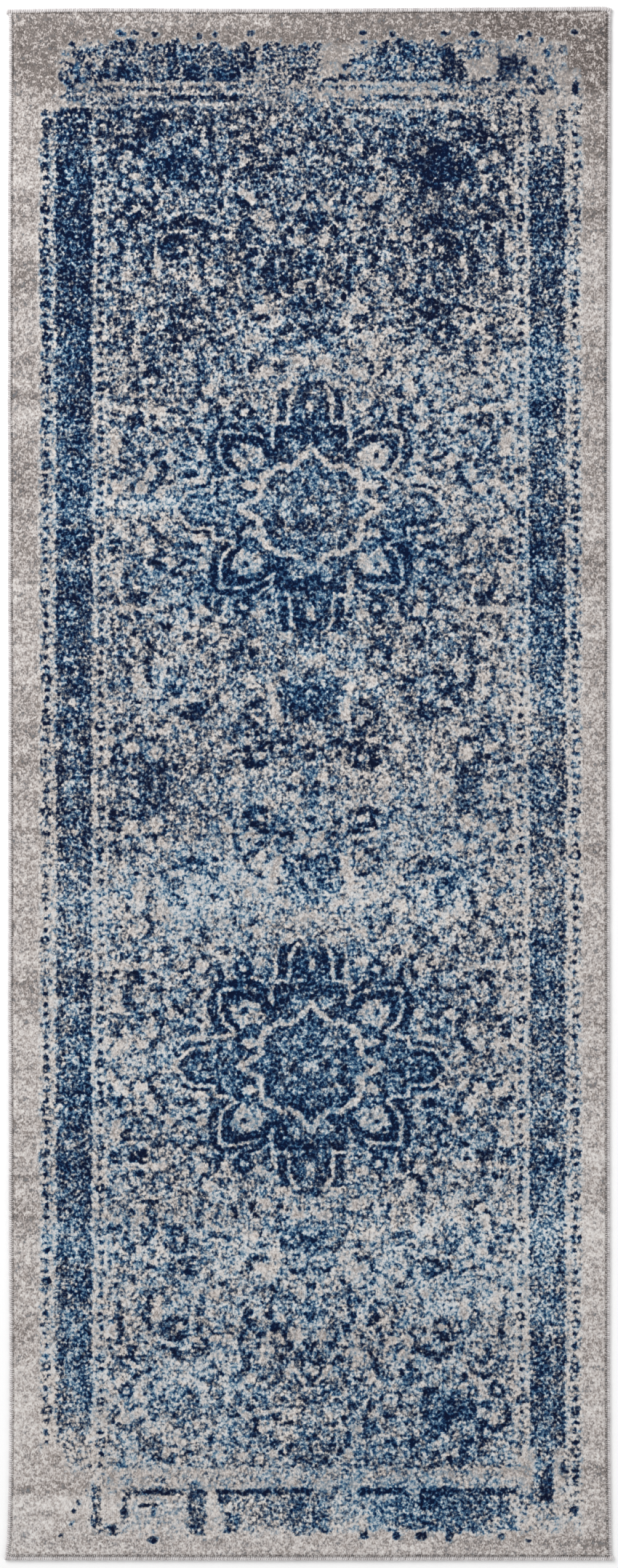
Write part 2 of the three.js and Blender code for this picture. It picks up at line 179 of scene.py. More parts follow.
def marks(text):
    out = []
    for item in text.replace("\n", ";").split(";"):
        w = item.split()
        if w:
            out.append((w[0], w[1], [float(n) for n in w[2:]]))
    return out


def paint(v, h, kind, cover):
    dark, blue = KIND[kind]
    strength = 0.62 if kind == "t" else 0.95
    c = np.clip(cover, 0.0, 1.0) * strength
    v += (dark - v) * c
    h += (blue - h) * c


def draw(items, u, w, v, h, edge=3.6, grow=0.0):
    for shape, kind, n in items:
        if shape == "B":
            ru, rw = n[2], n[3] if len(n) > 3 else n[2]
            near = np.nonzero((np.abs(u - n[0]) < ru + edge + 2) & (np.abs(w - n[1]) < rw + edge + 2))[0]
            if not len(near):
                continue
            rho = np.hypot((u[near] - n[0]) / ru, (w[near] - n[1]) / rw)
            sd = (1.0 - rho) * min(ru, rw) + grow
            a, b = v[near], h[near]
            paint(a, b, kind, 0.5 + sd / edge)
            v[near], h[near] = a, b
        elif shape == "S":
            half, pts = n[0] / 2, np.array(n[1:]).reshape(-1, 2)
            lo, hi = pts.min(0) - half - edge - 2, pts.max(0) + half + edge + 2
            near = np.nonzero((u > lo[0]) & (u < hi[0]) & (w > lo[1]) & (w < hi[1]))[0]
            if not len(near):
                continue
            uu, ww = u[near], w[near]
            best = np.full(len(near), 1e9)
            for (a0, b0), (a1, b1) in zip(pts[:-1], pts[1:]):
                dx, dy = a1 - a0, b1 - b0
                f = np.clip(((uu - a0) * dx + (ww - b0) * dy) / (dx * dx + dy * dy + 1e-9), 0, 1)
                best = np.minimum(best, np.hypot(uu - a0 - f * dx, ww - b0 - f * dy))
            a, b = v[near], h[near]
            paint(a, b, kind, 0.5 + (half - best + grow) / edge)
            v[near], h[near] = a, b
        elif shape == "P":
            pts = np.array(n).reshape(-1, 2)
            lo, hi = pts.min(0) - edge - 2, pts.max(0) + edge + 2
            near = np.nonzero((u > lo[0]) & (u < hi[0]) & (w > lo[1]) & (w < hi[1]))[0]
            if not len(near):
                continue
            uu, ww = u[near], w[near]
            best, inside = np.full(len(near), 1e9), np.zeros(len(near), bool)
            for (a0, b0), (a1, b1) in zip(pts, np.roll(pts, -1, 0)):
                dx, dy = a1 - a0, b1 - b0
                f = np.clip(((uu - a0) * dx + (ww - b0) * dy) / (dx * dx + dy * dy + 1e-9), 0, 1)
                best = np.minimum(best, np.hypot(uu - a0 - f * dx, ww - b0 - f * dy))
                crosses = (b0 > ww) != (b1 > ww)
                inside ^= crosses & (uu < a0 + dx * (ww - b0) / (dy + 1e-9 * (dy == 0)))
            a, b = v[near], h[near]
            paint(a, b, kind, 0.5 + np.where(inside, best, -best) / edge)
            v[near], h[near] = a, b
        else:
            r, t = n[2], (n[3] if len(n) > 3 else 3.5)
            near = np.nonzero((np.abs(u - n[0]) < r + t + edge) & (np.abs(w - n[1]) < r + t + edge))[0]
            if not len(near):
                continue
            rho = np.hypot(u[near] - n[0], w[near] - n[1])
            a, b = v[near], h[near]
            paint(a, b, "l", 0.5 + (r - rho) / edge)
            paint(a, b, kind, 0.5 + (t / 2 - np.abs(rho - r + t / 2) + grow) / edge)
            v[near], h[near] = a, b


def step(x, a, b):
    f = np.clip((x - a) / (b - a), 0.0, 1.0)
    return f * f * (3 - 2 * f)


def wave(x, y, seed, size):
    """A smooth, fixed unevenness, about -1 to 1, with bumps of the given size."""
    s = np.zeros_like(x)
    for k in range(5):
        a = seed * 1.7 + k * 2.399
        c, d = math.cos(a), math.sin(a)
        s = s + np.sin((x * c + y * d) * 6.283 / (size * (0.8 + 0.23 * k)) + seed * 3.1 + k * 1.9)
    return s / 3.0


def hashed(i, j, seed):
    """A repeatable number from 0 to 1 for each whole-number place."""
    a = (i.astype(np.int64) * 73856093) ^ (j.astype(np.int64) * 19349663) ^ (seed * 83492791)
    a = (a ^ (a >> 13)) * 1274126177
    a = (a ^ (a >> 16)) & 0xFFFFFF
    return a / float(0xFFFFFF)
# Soft patches that break the mirror: worn places, darker places and shifts of
# colour.  x y give the middle, rx ry the reach, then the change in darkness,
# in blueness and in the warmth of the ground.
PATCHES = [
    # x, y, rx, ry, dark, blue, taupe
    (600, 222, 42, 44, 0.34, 0.1, 0), (540, 182, 44, 14, 0.25, 0, 0), (680, 190, 36, 20, 0.20, 0, 0), (605, 302, 24, 16, 0.25, 0, 0),
    (230, 210, 50, 40, 0.06, 0.35, 0), (250, 320, 90, 40, 0.14, 0, 0), (340, 350, 60, 40, 0.14, 0, 0), (400, 385, 40, 36, 0.22, 0, 0), (605, 370, 60, 70, 0.24, 0, 0),
    (470, 330, 80, 50, 0.12, 0, 0), (620, 440, 40, 30, 0.14, 0, 0), (190, 440, 60, 60, 0.08, 0, 0), (200, 520, 70, 30, 0.10, 0, 0), (330, 500, 60, 40, 0.05, 0, 0),
    (425, 150, 300, 22, 0.16, 0.1, 0), (140, 240, 40, 60, 0.02, 0, 0), (660, 300, 40, 60, 0.10, 0, 0), (430, 430, 40, 24, 0.10, 0, 0),
    (580, 515, 70, 22, -0.12, 0, 0), (650, 540, 50, 40, -0.04, 0, 0.1), (700, 600, 60, 30, -0.08, 0, 0.1),
    (350, 600, 70, 40, 0.12, 0.5, 0), (440, 580, 60, 30, 0.08, 0.3, 0), (450, 690, 150, 18, -0.16, 0.2, 0), (545, 645, 50, 24, -0.12, 0.1, 0),
    (330, 800, 90, 50, 0.12, 0.7, 0), (550, 770, 60, 60, 0.10, 0.7, 0), (420, 800, 60, 60, 0.06, 0.5, 0), (220, 690, 60, 14, -0.10, 0.4, 0), (120, 700, 70, 16, -0.18, 0.3, 0),
    (290, 702, 50, 16, -0.08, 0.7, 0), (427, 700, 150, 110, 0.0, 0.1, 0), (640, 690, 40, 16, -0.10, 0, 0), (180, 770, 60, 16, -0.06, 0, 0),
    (390, 890, 60, 40, 0.14, 0.2, 0), (300, 860, 60, 60, 0.08, 0.1, 0), (560, 880, 60, 50, 0.10, 0, 0), (427, 960, 36, 34, 0.16, 0.5, 0), (590, 960, 40, 30, 0.12, 0.3, 0),
    (150, 900, 60, 90, 0.08, 0, 0), (190, 1060, 70, 50, 0.08, 0, 0), (330, 1000, 90, 60, 0.08, 0, 0), (470, 1000, 60, 40, 0.06, 0.1, 0), (640, 1090, 60, 50, -0.16, 0, 0.15),
    (700, 950, 50, 60, -0.12, -0.1, 0.15), (425, 1130, 160, 30, 0.06, 0.1, 0), (130, 1130, 50, 60, 0.06, 0, 0), (700, 1130, 40, 60, -0.04, 0, 0.15),
    (730, 975, 12, 40, -0.25, 0, 0), (90, 1245, 60, 46, -0.16, 0.3, 0), (740, 1230, 40, 36, -0.16, 0, 0.3), (427, 1210, 36, 30, 0.12, 0.7, 0),
    (250, 1240, 110, 34, -0.16, 0.1, 0), (560, 1245, 130, 26, -0.12, 0.2, 0), (620, 1210, 26, 26, 0.08, 0.4, 0),
    (427, 1467, 170, 130, -0.02, 0.5, 0), (340, 1350, 60, 40, 0.18, 0.3, 0), (427, 1320, 60, 30, 0.14, 0.2, 0), (530, 1370, 70, 40, 0.10, 0.2, 0), (427, 1467, 60, 50, -0.10, 0, 0),
    (340, 1580, 60, 34, 0.14, 0.2, 0), (430, 1595, 60, 34, 0.16, 0.2, 0), (560, 1560, 60, 50, 0.12, 0.2, 0), (600, 1480, 40, 60, 0.08, 0.2, 0), (180, 1440, 80, 44, -0.14, 0, 0),
    (220, 1530, 60, 20, -0.08, 0, 0), (90, 1440, 36, 70, -0.14, 0, 0), (90, 1370, 30, 30, -0.14, 0.1, 0), (740, 1480, 30, 90, -0.18, 0, 0.1), (710, 1340, 40, 50, -0.10, 0, 0),
    (90, 1710, 60, 24, -0.12, 0.8, 0), (740, 505, 40, 28, -0.14, 0.6, 0), (610, 1690, 60, 30, -0.24, 0.2, 0), (740, 1700, 40, 110, -0.28, 0.2, 0), (200, 1710, 60, 40, -0.12, 0.3, 0),
    (320, 1740, 60, 40, -0.12, 0.1, 0), (640, 1790, 60, 40, -0.14, 0, 0), (520, 1740, 60, 30, -0.08, 0.1, 0), (427, 1700, 30, 40, 0.08, 0.5, 0), (710, 1880, 50, 30, -0.10, 0, 0),
    (100, 1900, 40, 70, -0.24, 0, 0.1), (240, 1950, 60, 36, -0.18, 0, 0.1), (160, 1950, 90, 60, -0.12, -0.1, 0.1), (430, 1870, 90, 50, 0.16, 0.1, 0), (350, 1860, 60, 40, 0.10, 0, 0),
    (560, 1900, 60, 40, 0.06, 0.3, 0), (620, 1950, 60, 40, 0.10, 0.5, 0), (430, 2000, 80, 40, 0.16, 0.2, 0), (530, 1990, 80, 40, 0.10, 0.5, 0), (700, 2000, 30, 30, -0.08, 0, 0),
    (560, 2060, 110, 34, 0.20, 0.8, 0), (90, 2060, 70, 60, -0.30, -0.1, -0.2), (330, 2060, 80, 30, 0.10, 0.1, 0), (120, 100, 60, 40, 0.0, 0.0, 0.2),
    (130, 1130, 50, 900, 0.03, 0, 0), (60, 600, 14, 480, 0.12, 0, 0), (95, 560, 30, 420, 0.04, 0.35, 0), (740, 760, 30, 90, 0.08, 0.4, 0), (427, 60, 500, 60, 0.10, 0.1, 0.25),
    (200, 70, 120, 40, 0.12, 0.2, 0), (300, 100, 80, 30, 0.14, 0.3, 0), (560, 80, 70, 34, 0.14, 0.4, 0), (720, 70, 110, 60, -0.1, -0.3, 0.35), (475, 60, 26, 30, -0.22, -0.3, 0.3),
    (770, 1100, 16, 900, -0.04, -0.1, 0), (800, 2090, 60, 40, -0.3, 0, 0), (60, 30, 80, 40, -0.2, -0.2, 0.2),
    (200, 170, 110, 30, 0.20, 0.1, 0), (360, 215, 60, 50, 0.18, 0, 0), (463, 215, 40, 40, 0.16, 0, 0), (80, 200, 30, 90, 0.12, 0, 0), (315, 412, 34, 26, 0.15, 0, 0),
    (463, 372, 34, 26, 0.10, 0, 0), (430, 600, 50, 20, 0.10, 0, 0), (336, 628, 24, 24, 0.08, 0, 0), (336, 740, 26, 26, 0.12, 0, 0), (568, 750, 30, 40, 0.12, 0, 0),
    (63, 990, 16, 60, 0.08, 0, 0), (450, 1030, 70, 26, 0.12, 0, 0), (674, 1010, 28, 34, 0.14, 0, 0), (690, 1290, 50, 24, 0.08, 0, 0),
    (390, 1460, 150, 100, 0.09, 0, 0), (360, 1425, 44, 44, 0.10, 0, 0), (420, 1525, 60, 30, 0.12, 0, 0), (716, 1592, 34, 26, 0.20, 0, 0), (726, 1705, 26, 40, 0.16, 0, 0),
    (210, 950, 34, 30, -0.16, 0.3, 0), (252, 890, 26, 50, -0.10, 0, 0), (630, 455, 30, 34, -0.16, 0, 0), (630, 410, 24, 20, -0.10, 0, 0),
    (250, 1235, 170, 80, -0.08, 0.1, 0), (95, 1305, 34, 30, -0.16, 0, 0), (284, 1325, 26, 24, -0.12, 0, 0), (368, 1204, 30, 24, -0.10, 0, 0), (630, 1222, 26, 24, -0.14, 0, 0),
    (640, 1510, 30, 24, -0.08, 0, 0), (284, 1700, 40, 60, -0.08, 0, 0), (600, 1720, 110, 60, -0.06, 0.2, 0), (294, 1888, 34, 26, -0.14, 0, 0), (95, 1660, 24, 50, -0.06, 0.3, 0), (536, 1930, 36, 20, -0.08, 0, 0),
    (253, 640, 50, 50, 0, 0.4, 0), (737, 551, 34, 60, 0, 0.5, 0), (720, 880, 40, 90, 0, 0.4, 0), (273, 1204, 50, 30, 0, 0.3, 0), (126, 1510, 40, 110, 0, 0.4, 0),
    (757, 1610, 30, 200, 0, 0.4, 0), (673, 1750, 50, 70, 0, 0.3, 0), (210, 1920, 50, 30, 0, 0.3, 0), (590, 2067, 60, 30, 0, 0.2, 0),
    (84, 88, 60, 50, 0, -0.4, 0.1), (380, 110, 90, 26, 0, -0.3, 0), (745, 150, 80, 80, 0, -0.4, 0.15), (690, 385, 40, 90, 0, -0.3, 0), (67, 1140, 24, 180, 0, -0.3, 0),
    (442, 700, 40, 30, 0, -0.2, 0), (273, 867, 40, 40, 0, -0.3, 0),
    (425, 40, 420, 34, 0.04, -0.25, 0.06), (815, 1850, 40, 260, 0, 0, -0.16), (425, 2130, 420, 30, 0, 0, -0.14), (30, 1900, 40, 200, 0, 0, -0.06), (120, 170, 60, 90, 0.12, 0.1, 0), (420, 250, 330, 90, 0.06, 0, 0), (80, 410, 40, 150, 0.06, 0, 0), (590, 220, 44, 60, 0.08, 0, 0),
    (275, 860, 34, 34, -0.12, 0, 0), (220, 960, 30, 34, -0.10, 0, 0), (525, 1225, 34, 30, -0.08, 0, 0), (630, 1265, 34, 26, -0.10, 0, 0), (400, 1790, 260, 80, -0.07, 0.15, 0),
    (630, 1655, 36, 24, -0.12, 0, 0), (525, 1650, 30, 20, -0.08, 0, 0), (610, 2012, 60, 16, 0.08, 0, 0), (610, 2070, 60, 20, -0.16, -0.1, 0), (200, 2085, 40, 24, 0.08, 0, 0),
    (336, 2057, 26, 16, -0.08, 0, 0), (12, 2000, 20, 90, 0, 0, -0.2), (230, 120, 200, 22, 0.12, 0, 0.1), (110, 115, 30, 30, 0.10, 0, 0.1), (705, 95, 70, 40, 0.12, 0, 0.16),
    (430, 90, 60, 40, 0.08, 0, 0.1), (150, 2050, 120, 60, 0.07, 0, 0.1), (745, 2050, 50, 60, 0.08, 0, 0.05), (290, 1865, 110, 34, -0.09, 0, 0), (95, 1910, 40, 60, 0, 0.3, 0),
    (245, 910, 40, 60, 0, 0.25, 0), (70, 1350, 24, 50, 0, 0.3, 0), (600, 1210, 70, 50, 0, 0.2, 0), (340, 1110, 50, 40, 0, 0.2, 0), (490, 1775, 60, 34, 0, 0.2, 0),
    (60, 1500, 14, 300, 0.08, 0, 0), (790, 800, 14, 300, 0.08, 0, 0), (730, 1060, 30, 50, 0.08, 0, 0), (130, 560, 16, 300, 0.05, 0, 0), (716, 800, 14, 200, 0.05, 0, 0),
    (700, 90, 60, 50, 0.16, 0, 0), (105, 360, 60, 30, 0.12, 0, 0), (50, 400, 20, 60, 0.10, 0, 0), (110, 1380, 30, 40, 0.10, 0, 0), (110, 1480, 30, 40, 0.14, 0, 0),
    (90, 1600, 20, 90, 0.08, 0, 0), (110, 1900, 30, 50, 0.10, 0, 0), (720, 1310, 30, 30, 0.10, 0, 0), (730, 1490, 50, 80, 0.10, 0, 0), (730, 1620, 50, 30, 0.10, 0, 0),
    (300, 1090, 40, 40, 0.08, 0, 0), (210, 1080, 14, 50, -0.10, 0, 0), (590, 2025, 90, 18, 0.12, 0, 0), (430, 440, 40, 30, 0.05, 0, 0), (560, 350, 70, 22, -0.10, 0, 0),
    (250, 120, 14, 30, -0.08, 0, 0), (220, 95, 60, 18, -0.10, 0, 0), (350, 1380, 120, 30, 0.04, 0, 0), (440, 1200, 200, 30, -0.06, 0, 0), (400, 1870, 60, 40, -0.08, 0, 0),
    (560, 1900, 80, 60, -0.05, 0, 0), (230, 1890, 90, 40, -0.03, 0.35, 0), (560, 1770, 80, 40, 0, 0.15, 0), (430, 690, 60, 30, 0, 0.25, 0), (430, 810, 130, 40, 0, -0.05, 0),
    (190, 32, 150, 12, 0, 0, 0.10), (450, 72, 22, 30, -0.08, -0.2, 0.25), (779, 341, 24, 50, 0.08, 0, 0), (42, 404, 20, 60, 0.08, 0, 0), (147, 341, 30, 30, 0.05, 0, 0), (337, 636, 34, 26, 0.08, 0, 0),
    (137, 699, 50, 26, 0.08, 0, 0), (42, 699, 16, 60, 0.08, 0, 0), (466, 860, 34, 40, 0.09, 0, 0), (642, 878, 40, 40, 0.08, 0, 0), (695, 1078, 36, 36, 0.09, 0, 0),
    (137, 1183, 36, 36, 0.08, 0, 0), (568, 1372, 50, 26, 0.08, 0, 0), (674, 1372, 40, 40, 0.06, 0, 0), (779, 1467, 20, 50, 0.08, 0, 0), (758, 2067, 40, 36, 0.09, 0, 0),
    (463, 2056, 40, 20, 0.07, 0, 0), (105, 1940, 34, 40, 0.07, 0, 0), (263, 1730, 40, 50, 0.05, 0, 0), (95, 236, 30, 40, -0.10, 0, 0), (695, 110, 24, 26, -0.06, -0.25, 0),
    (526, 42, 30, 16, -0.08, 0, -0.2), (463, 762, 44, 26, -0.08, 0, 0), (295, 850, 30, 60, -0.06, 0, 0), (210, 1110, 34, 30, -0.06, 0, 0), (379, 1436, 80, 50, -0.06, 0, 0),
    (674, 1562, 40, 30, -0.10, 0, 0), (442, 1267, 44, 50, -0.06, 0, 0), (747, 1141, 30, 40, -0.06, 0, 0), (747, 1267, 30, 40, -0.06, 0, 0), (421, 1625, 30, 50, -0.06, 0, 0),
    (579, 1930, 34, 24, -0.08, 0, 0), (590, 690, 60, 30, -0.05, 0, 0), (42, 1951, 30, 40, 0, 0, -0.18), (484, 1983, 60, 24, -0.05, 0, 0), (610, 2057, 40, 16, -0.06, 0, 0),
    (316, 657, 40, 40, 0, 0.15, 0), (337, 1152, 44, 60, 0, 0.2, 0), (150, 1920, 60, 40, 0, 0.2, 0), (337, 1930, 44, 30, 0, 0.2, 0), (263, 1710, 40, 50, 0, 0.2, 0),
    (390, 1794, 70, 30, 0, 0.15, 0), (620, 2000, 40, 26, 0, 0.2, 0), (463, 57, 70, 30, 0, -0.2, 0), (168, 1004, 40, 50, 0, -0.25, 0), (379, 720, 50, 30, 0, -0.15, 0),
    (547, 688, 60, 30, 0, -0.15, 0),
    (120, 38, 120, 14, 0, 0, 0.06), (60, 100, 26, 60, 0, 0, 0.12), (210, 140, 60, 12, 0.14, 0, 0), (389, 140, 50, 14, 0.14, 0, 0), (452, 57, 30, 24, 0.10, 0, 0.1),
    (30, 410, 24, 50, 0, 0, 0.25), (30, 700, 24, 50, 0, 0, 0.2), (768, 1972, 30, 26, 0.10, 0, 0), (768, 2078, 26, 26, 0.08, 0, 0), (30, 2110, 40, 26, 0, 0, -0.2),
    (480, 1180, 180, 80, 0, 0.2, 0), (400, 1500, 200, 110, 0, 0.1, 0), (653, 678, 60, 50, 0, 0.2, 0), (560, 1590, 80, 60, 0, 0.12, 0), (340, 1960, 90, 50, 0, 0.15, 0),
    (63, 1935, 40, 50, 0, -0.3, 0), (427, 2078, 330, 30, 0.03, 0, 0.02), (79, 1000, 24, 700, -0.012, 0, 0), (690, 99, 40, 30, 0, -0.2, 0), (700, 800, 40, 60, 0, -0.15, 0), (568, 2022, 60, 20, 0, -0.2, 0), (427, 700, 150, 60, -0.03, 0, 0), (427, 1467, 100, 60, 0.0, -0.2, 0),
    (105, 235, 26, 70, 0, 0.4, 0), (105, 650, 26, 70, 0, 0.3, 0), (105, 1500, 24, 80, 0, 0.3, 0), (105, 1800, 24, 110, 0, 0.4, 0), (745, 290, 26, 140, 0, 0.35, 0),
    (745, 620, 26, 80, 0, 0.2, 0), (760, 900, 24, 100, 0, 0.3, 0), (740, 1100, 24, 50, 0, 0.25, 0), (745, 1340, 26, 50, 0, 0.35, 0), (750, 1930, 26, 90, 0, 0.45, 0),
    (260, 300, 90, 130, 0, 0.2, 0), (230, 1200, 70, 70, 0, 0.2, 0), (570, 600, 80, 70, 0, 0.2, 0), (130, 1560, 20, 50, 0, -0.2, 0), (690, 890, 20, 110, 0, -0.35, 0),
    (425, 75, 380, 42, 0, -0.25, 0.06), (180, 150, 140, 60, 0, -0.25, 0.1), (465, 725, 50, 40, 0, -0.2, 0), (730, 80, 90, 46, 0, -0.1, 0.15), (540, 1980, 60, 90, 0, -0.25, 0), (240, 950, 40, 26, 0, 0.25, 0), (300, 1540, 40, 40, 0, 0.2, 0), (620, 1440, 40, 30, 0, 0.25, 0),
]
# Bands of creamier (below nought) and greyer ground, down each side: y, half height, shift
BANDS_LEFT = [
    (30, 8, -0.35), (58, 9, 0.55), (76, 5, 0.15), (98, 14, 0.85), (126, 8, -0.1), (150, 14, -0.20), (178, 10, -0.10), (196, 6, 0.22), (245, 9, -0.25), (268, 6, 0.15), (292, 6, 0.1),
    (330, 16, -0.30), (398, 9, 0.10), (445, 9, -0.25), (470, 5, -0.1), (495, 8, 0.20), (545, 7, 0.35), (570, 8, -0.25), (600, 6, 0.1), (650, 9, 0.08),
    (695, 10, -0.30), (745, 9, 0.12), (790, 8, 0.05), (825, 7, 0.12), (895, 10, -0.25), (930, 8, -0.1), (975, 8, 0.08), (1046, 9, 0.28), (1095, 7, 0.08),
    (1145, 9, 0.35), (1195, 8, -0.12), (1220, 7, 0.22), (1268, 8, 0.18), (1320, 12, -0.30), (1345, 6, -0.1), (1370, 6, 0.1), (1410, 14, -0.12), (1445, 6, -0.15),
    (1500, 14, -0.38), (1546, 10, 0.32), (1572, 6, 0.12), (1620, 9, 0.32), (1670, 9, 0.22), (1722, 16, -0.30), (1770, 8, 0.20), (1795, 6, -0.1),
    (1832, 16, 0.26), (1895, 9, -0.15), (1945, 7, 0.12), (1970, 7, -0.2), (2045, 9, 0.36), (2070, 12, -0.50), (2100, 9, -0.1), (2122, 8, 0.05),
]
BANDS_RIGHT = [
    (45, 12, 0.34), (72, 12, 0.36), (98, 14, 0.80), (120, 10, 0.60), (148, 6, 0.0), (165, 8, 0.15), (200, 16, 0.36), (222, 8, 0.32), (245, 7, 0.05),
    (270, 8, 0.30), (295, 10, 0.62), (320, 8, 0.2), (348, 10, -0.20), (372, 6, -0.1), (420, 8, -0.15), (445, 9, -0.34), (470, 7, 0.24), (495, 8, 0.26), (520, 9, 0.45),
    (547, 7, 0.2), (580, 10, -0.05), (645, 8, 0.26), (672, 6, 0.1), (698, 6, 0.18), (772, 9, 0.32), (797, 8, 0.30), (850, 9, -0.08), (872, 8, -0.22), (905, 6, -0.1), (945, 9, -0.15),
    (970, 8, -0.25), (995, 6, 0.18), (1045, 6, 0.12), (1095, 7, 0.18), (1170, 8, 0.30), (1196, 6, 0.1), (1222, 10, -0.22), (1245, 7, -0.15), (1297, 10, -0.15), (1320, 8, -0.15),
    (1346, 7, 0.12), (1395, 7, 0.1), (1420, 8, -0.15), (1446, 6, 0.1), (1520, 9, -0.25), (1546, 6, 0.12), (1595, 10, -0.38), (1620, 6, 0.05), (1645, 7, 0.12), (1670, 8, -0.25),
    (1695, 12, -0.45), (1722, 8, -0.15), (1770, 8, 0.1), (1795, 9, -0.32), (1820, 6, 0.1), (1848, 12, 0.42), (1870, 7, 0.25), (1945, 8, -0.15), (1970, 6, 0.15),
    (2020, 10, 0.42), (2045, 8, 0.2), (2070, 8, -0.05), (2120, 9, 0.28),
]
# What is left of the borders across the ends, block by block, each quarter worn
# in its own way: x from and to, y from and to, darkness, blueness
END_BLOCKS = """
186 196 56 88 .18 .2; 222 229 58 126 .12 .2; 262 268 60 88 .3 .3; 284 290 64 112 .26 .2; 376 384 58 92 .24 .2; 390 396 60 100 .28 .2
150 187 55 69 .70 .5; 118 142 66 76 .44 .8; 98 116 68 82 .55 .3; 84 100 78 130 .34 .3; 98 112 88 112 .62 .5; 118 166 98 111 .60 .7; 160 196 88 112 .66 .7
140 200 69 90 .42 .3; 196 226 58 128 .54 .2; 228 246 55 110 .66 .25; 246 276 56 90 .54 .5; 250 282 88 113 .72 .65; 276 296 62 100 .42 .3; 294 330 92 113 .72 .6
296 332 66 92 .48 .2; 308 330 40 64 .02 .1; 332 352 56 96 .68 .25; 352 360 60 118 .16 .2; 360 425 56 100 .50 .5; 405 425 58 74 .60 .85; 398 420 92 110 .64 .15
360 398 96 122 .34 .2; 110 218 112 118 .06 .1; 255 327 112 118 .04 .1; 130 222 126 132 .06 .1; 250 332 126 131 .04 .1; 135 330 118 126 .44 .3; 232 262 131 138 .80 .3
262 276 131 138 .50 .3; 276 333 131 138 .82 .25; 84 112 137 149 .05 .1; 56 82 60 152 .02 .1; 425 442 42 104 .48 .6; 442 510 38 84 .05 .2; 442 478 84 106 .14 .2
480 520 66 106 .34 .5; 445 485 106 113 .70 .3; 485 640 106 113 .64 .75; 520 545 56 106 .58 .7; 548 570 54 80 .60 .6; 570 606 58 104 .46 .6; 606 622 52 78 .66 .5
606 640 80 108 .70 .25; 640 662 52 80 .34 .7; 640 682 80 106 .10 .2; 684 716 78 102 .66 .2; 712 742 40 62 .34 .15; 716 735 64 100 .22 .4; 766 779 55 78 .52 .8
724 760 96 122 .32 .4; 786 796 104 128 .46 .4; 445 612 113 118.5 .04 .1; 455 625 118.5 125 .38 .4; 440 600 125 129.5 .06 .2; 523 562 130 138 .76 .4; 562 588 131 138 .48 .3
588 630 130 138 .80 .35; 525 630 139 150 .14 .2; 640 722 106 134 .26 .3; 640 668 112 118 .62 .3; 690 722 104 112 .50 .3; 676 700 120 128 .50 .3; 640 722 134 150 .42 .3; 742 766 122 200 .14 .2; 728 742 138 200 .64 .3; 766 779 158 196 .60 .3; 60 76 130 152 .1 .2
60 88 1985 2110 .05 .2; 88 125 1975 2022 .42 .2; 88 125 2022 2110 .03 .2; 125 139 2040 2100 .66 .2; 112 126 2046 2054 .55 .2; 118 140 2086 2094 .62 .2; 130 162 2096 2112 .50 .3
165 174 2062 2096 .52 .2; 174 188 2040 2070 .30 .2; 139 165 2056 2094 .08 .2; 176 258 2060 2110 .16 .3; 186 245 2047 2054 .66 .25; 246 258 2050 2056 .40 .3; 259 283 2048 2120 .62 .45; 298 430 2047 2056 .80 .3
298 318 2056 2068 .64 .3; 318 350 2060 2080 .40 .2; 312 330 2082 2122 .62 .5; 284 300 2056 2112 .08 .2; 345 425 2056 2100 .46 .2; 400 425 2056 2112 .60 .4; 425 455 2050 2092 .46 .3; 430 452 2078 2108 .64 .7
455 495 2058 2112 .22 .4; 493 562 2047 2056 .84 .25; 508 546 2066 2106 .46 .95; 544 552 2050 2102 .68 .3; 552 600 2056 2100 .58 .3; 578 604 2048 2076 .86 .2; 600 700 2052 2086 .66 .3
580 712 2046 2055 .80 .3; 555 676 2084 2106 .60 .6; 676 686 2056 2092 .30 .4; 684 712 2084 2102 .54 .9; 636 672 2108 2118 .5 .4; 735 762 1970 2066 .56 .4; 730 745 2005 2035 .46 .9
745 760 2040 2064 .80 .2; 715 735 1990 2050 .10 .2; 775 798 2010 2090 .34 .3; 762 776 1990 2090 .12 .2; 714 775 2070 2112 .22 .3; 715 740 2050 2075 .36 .4
"""
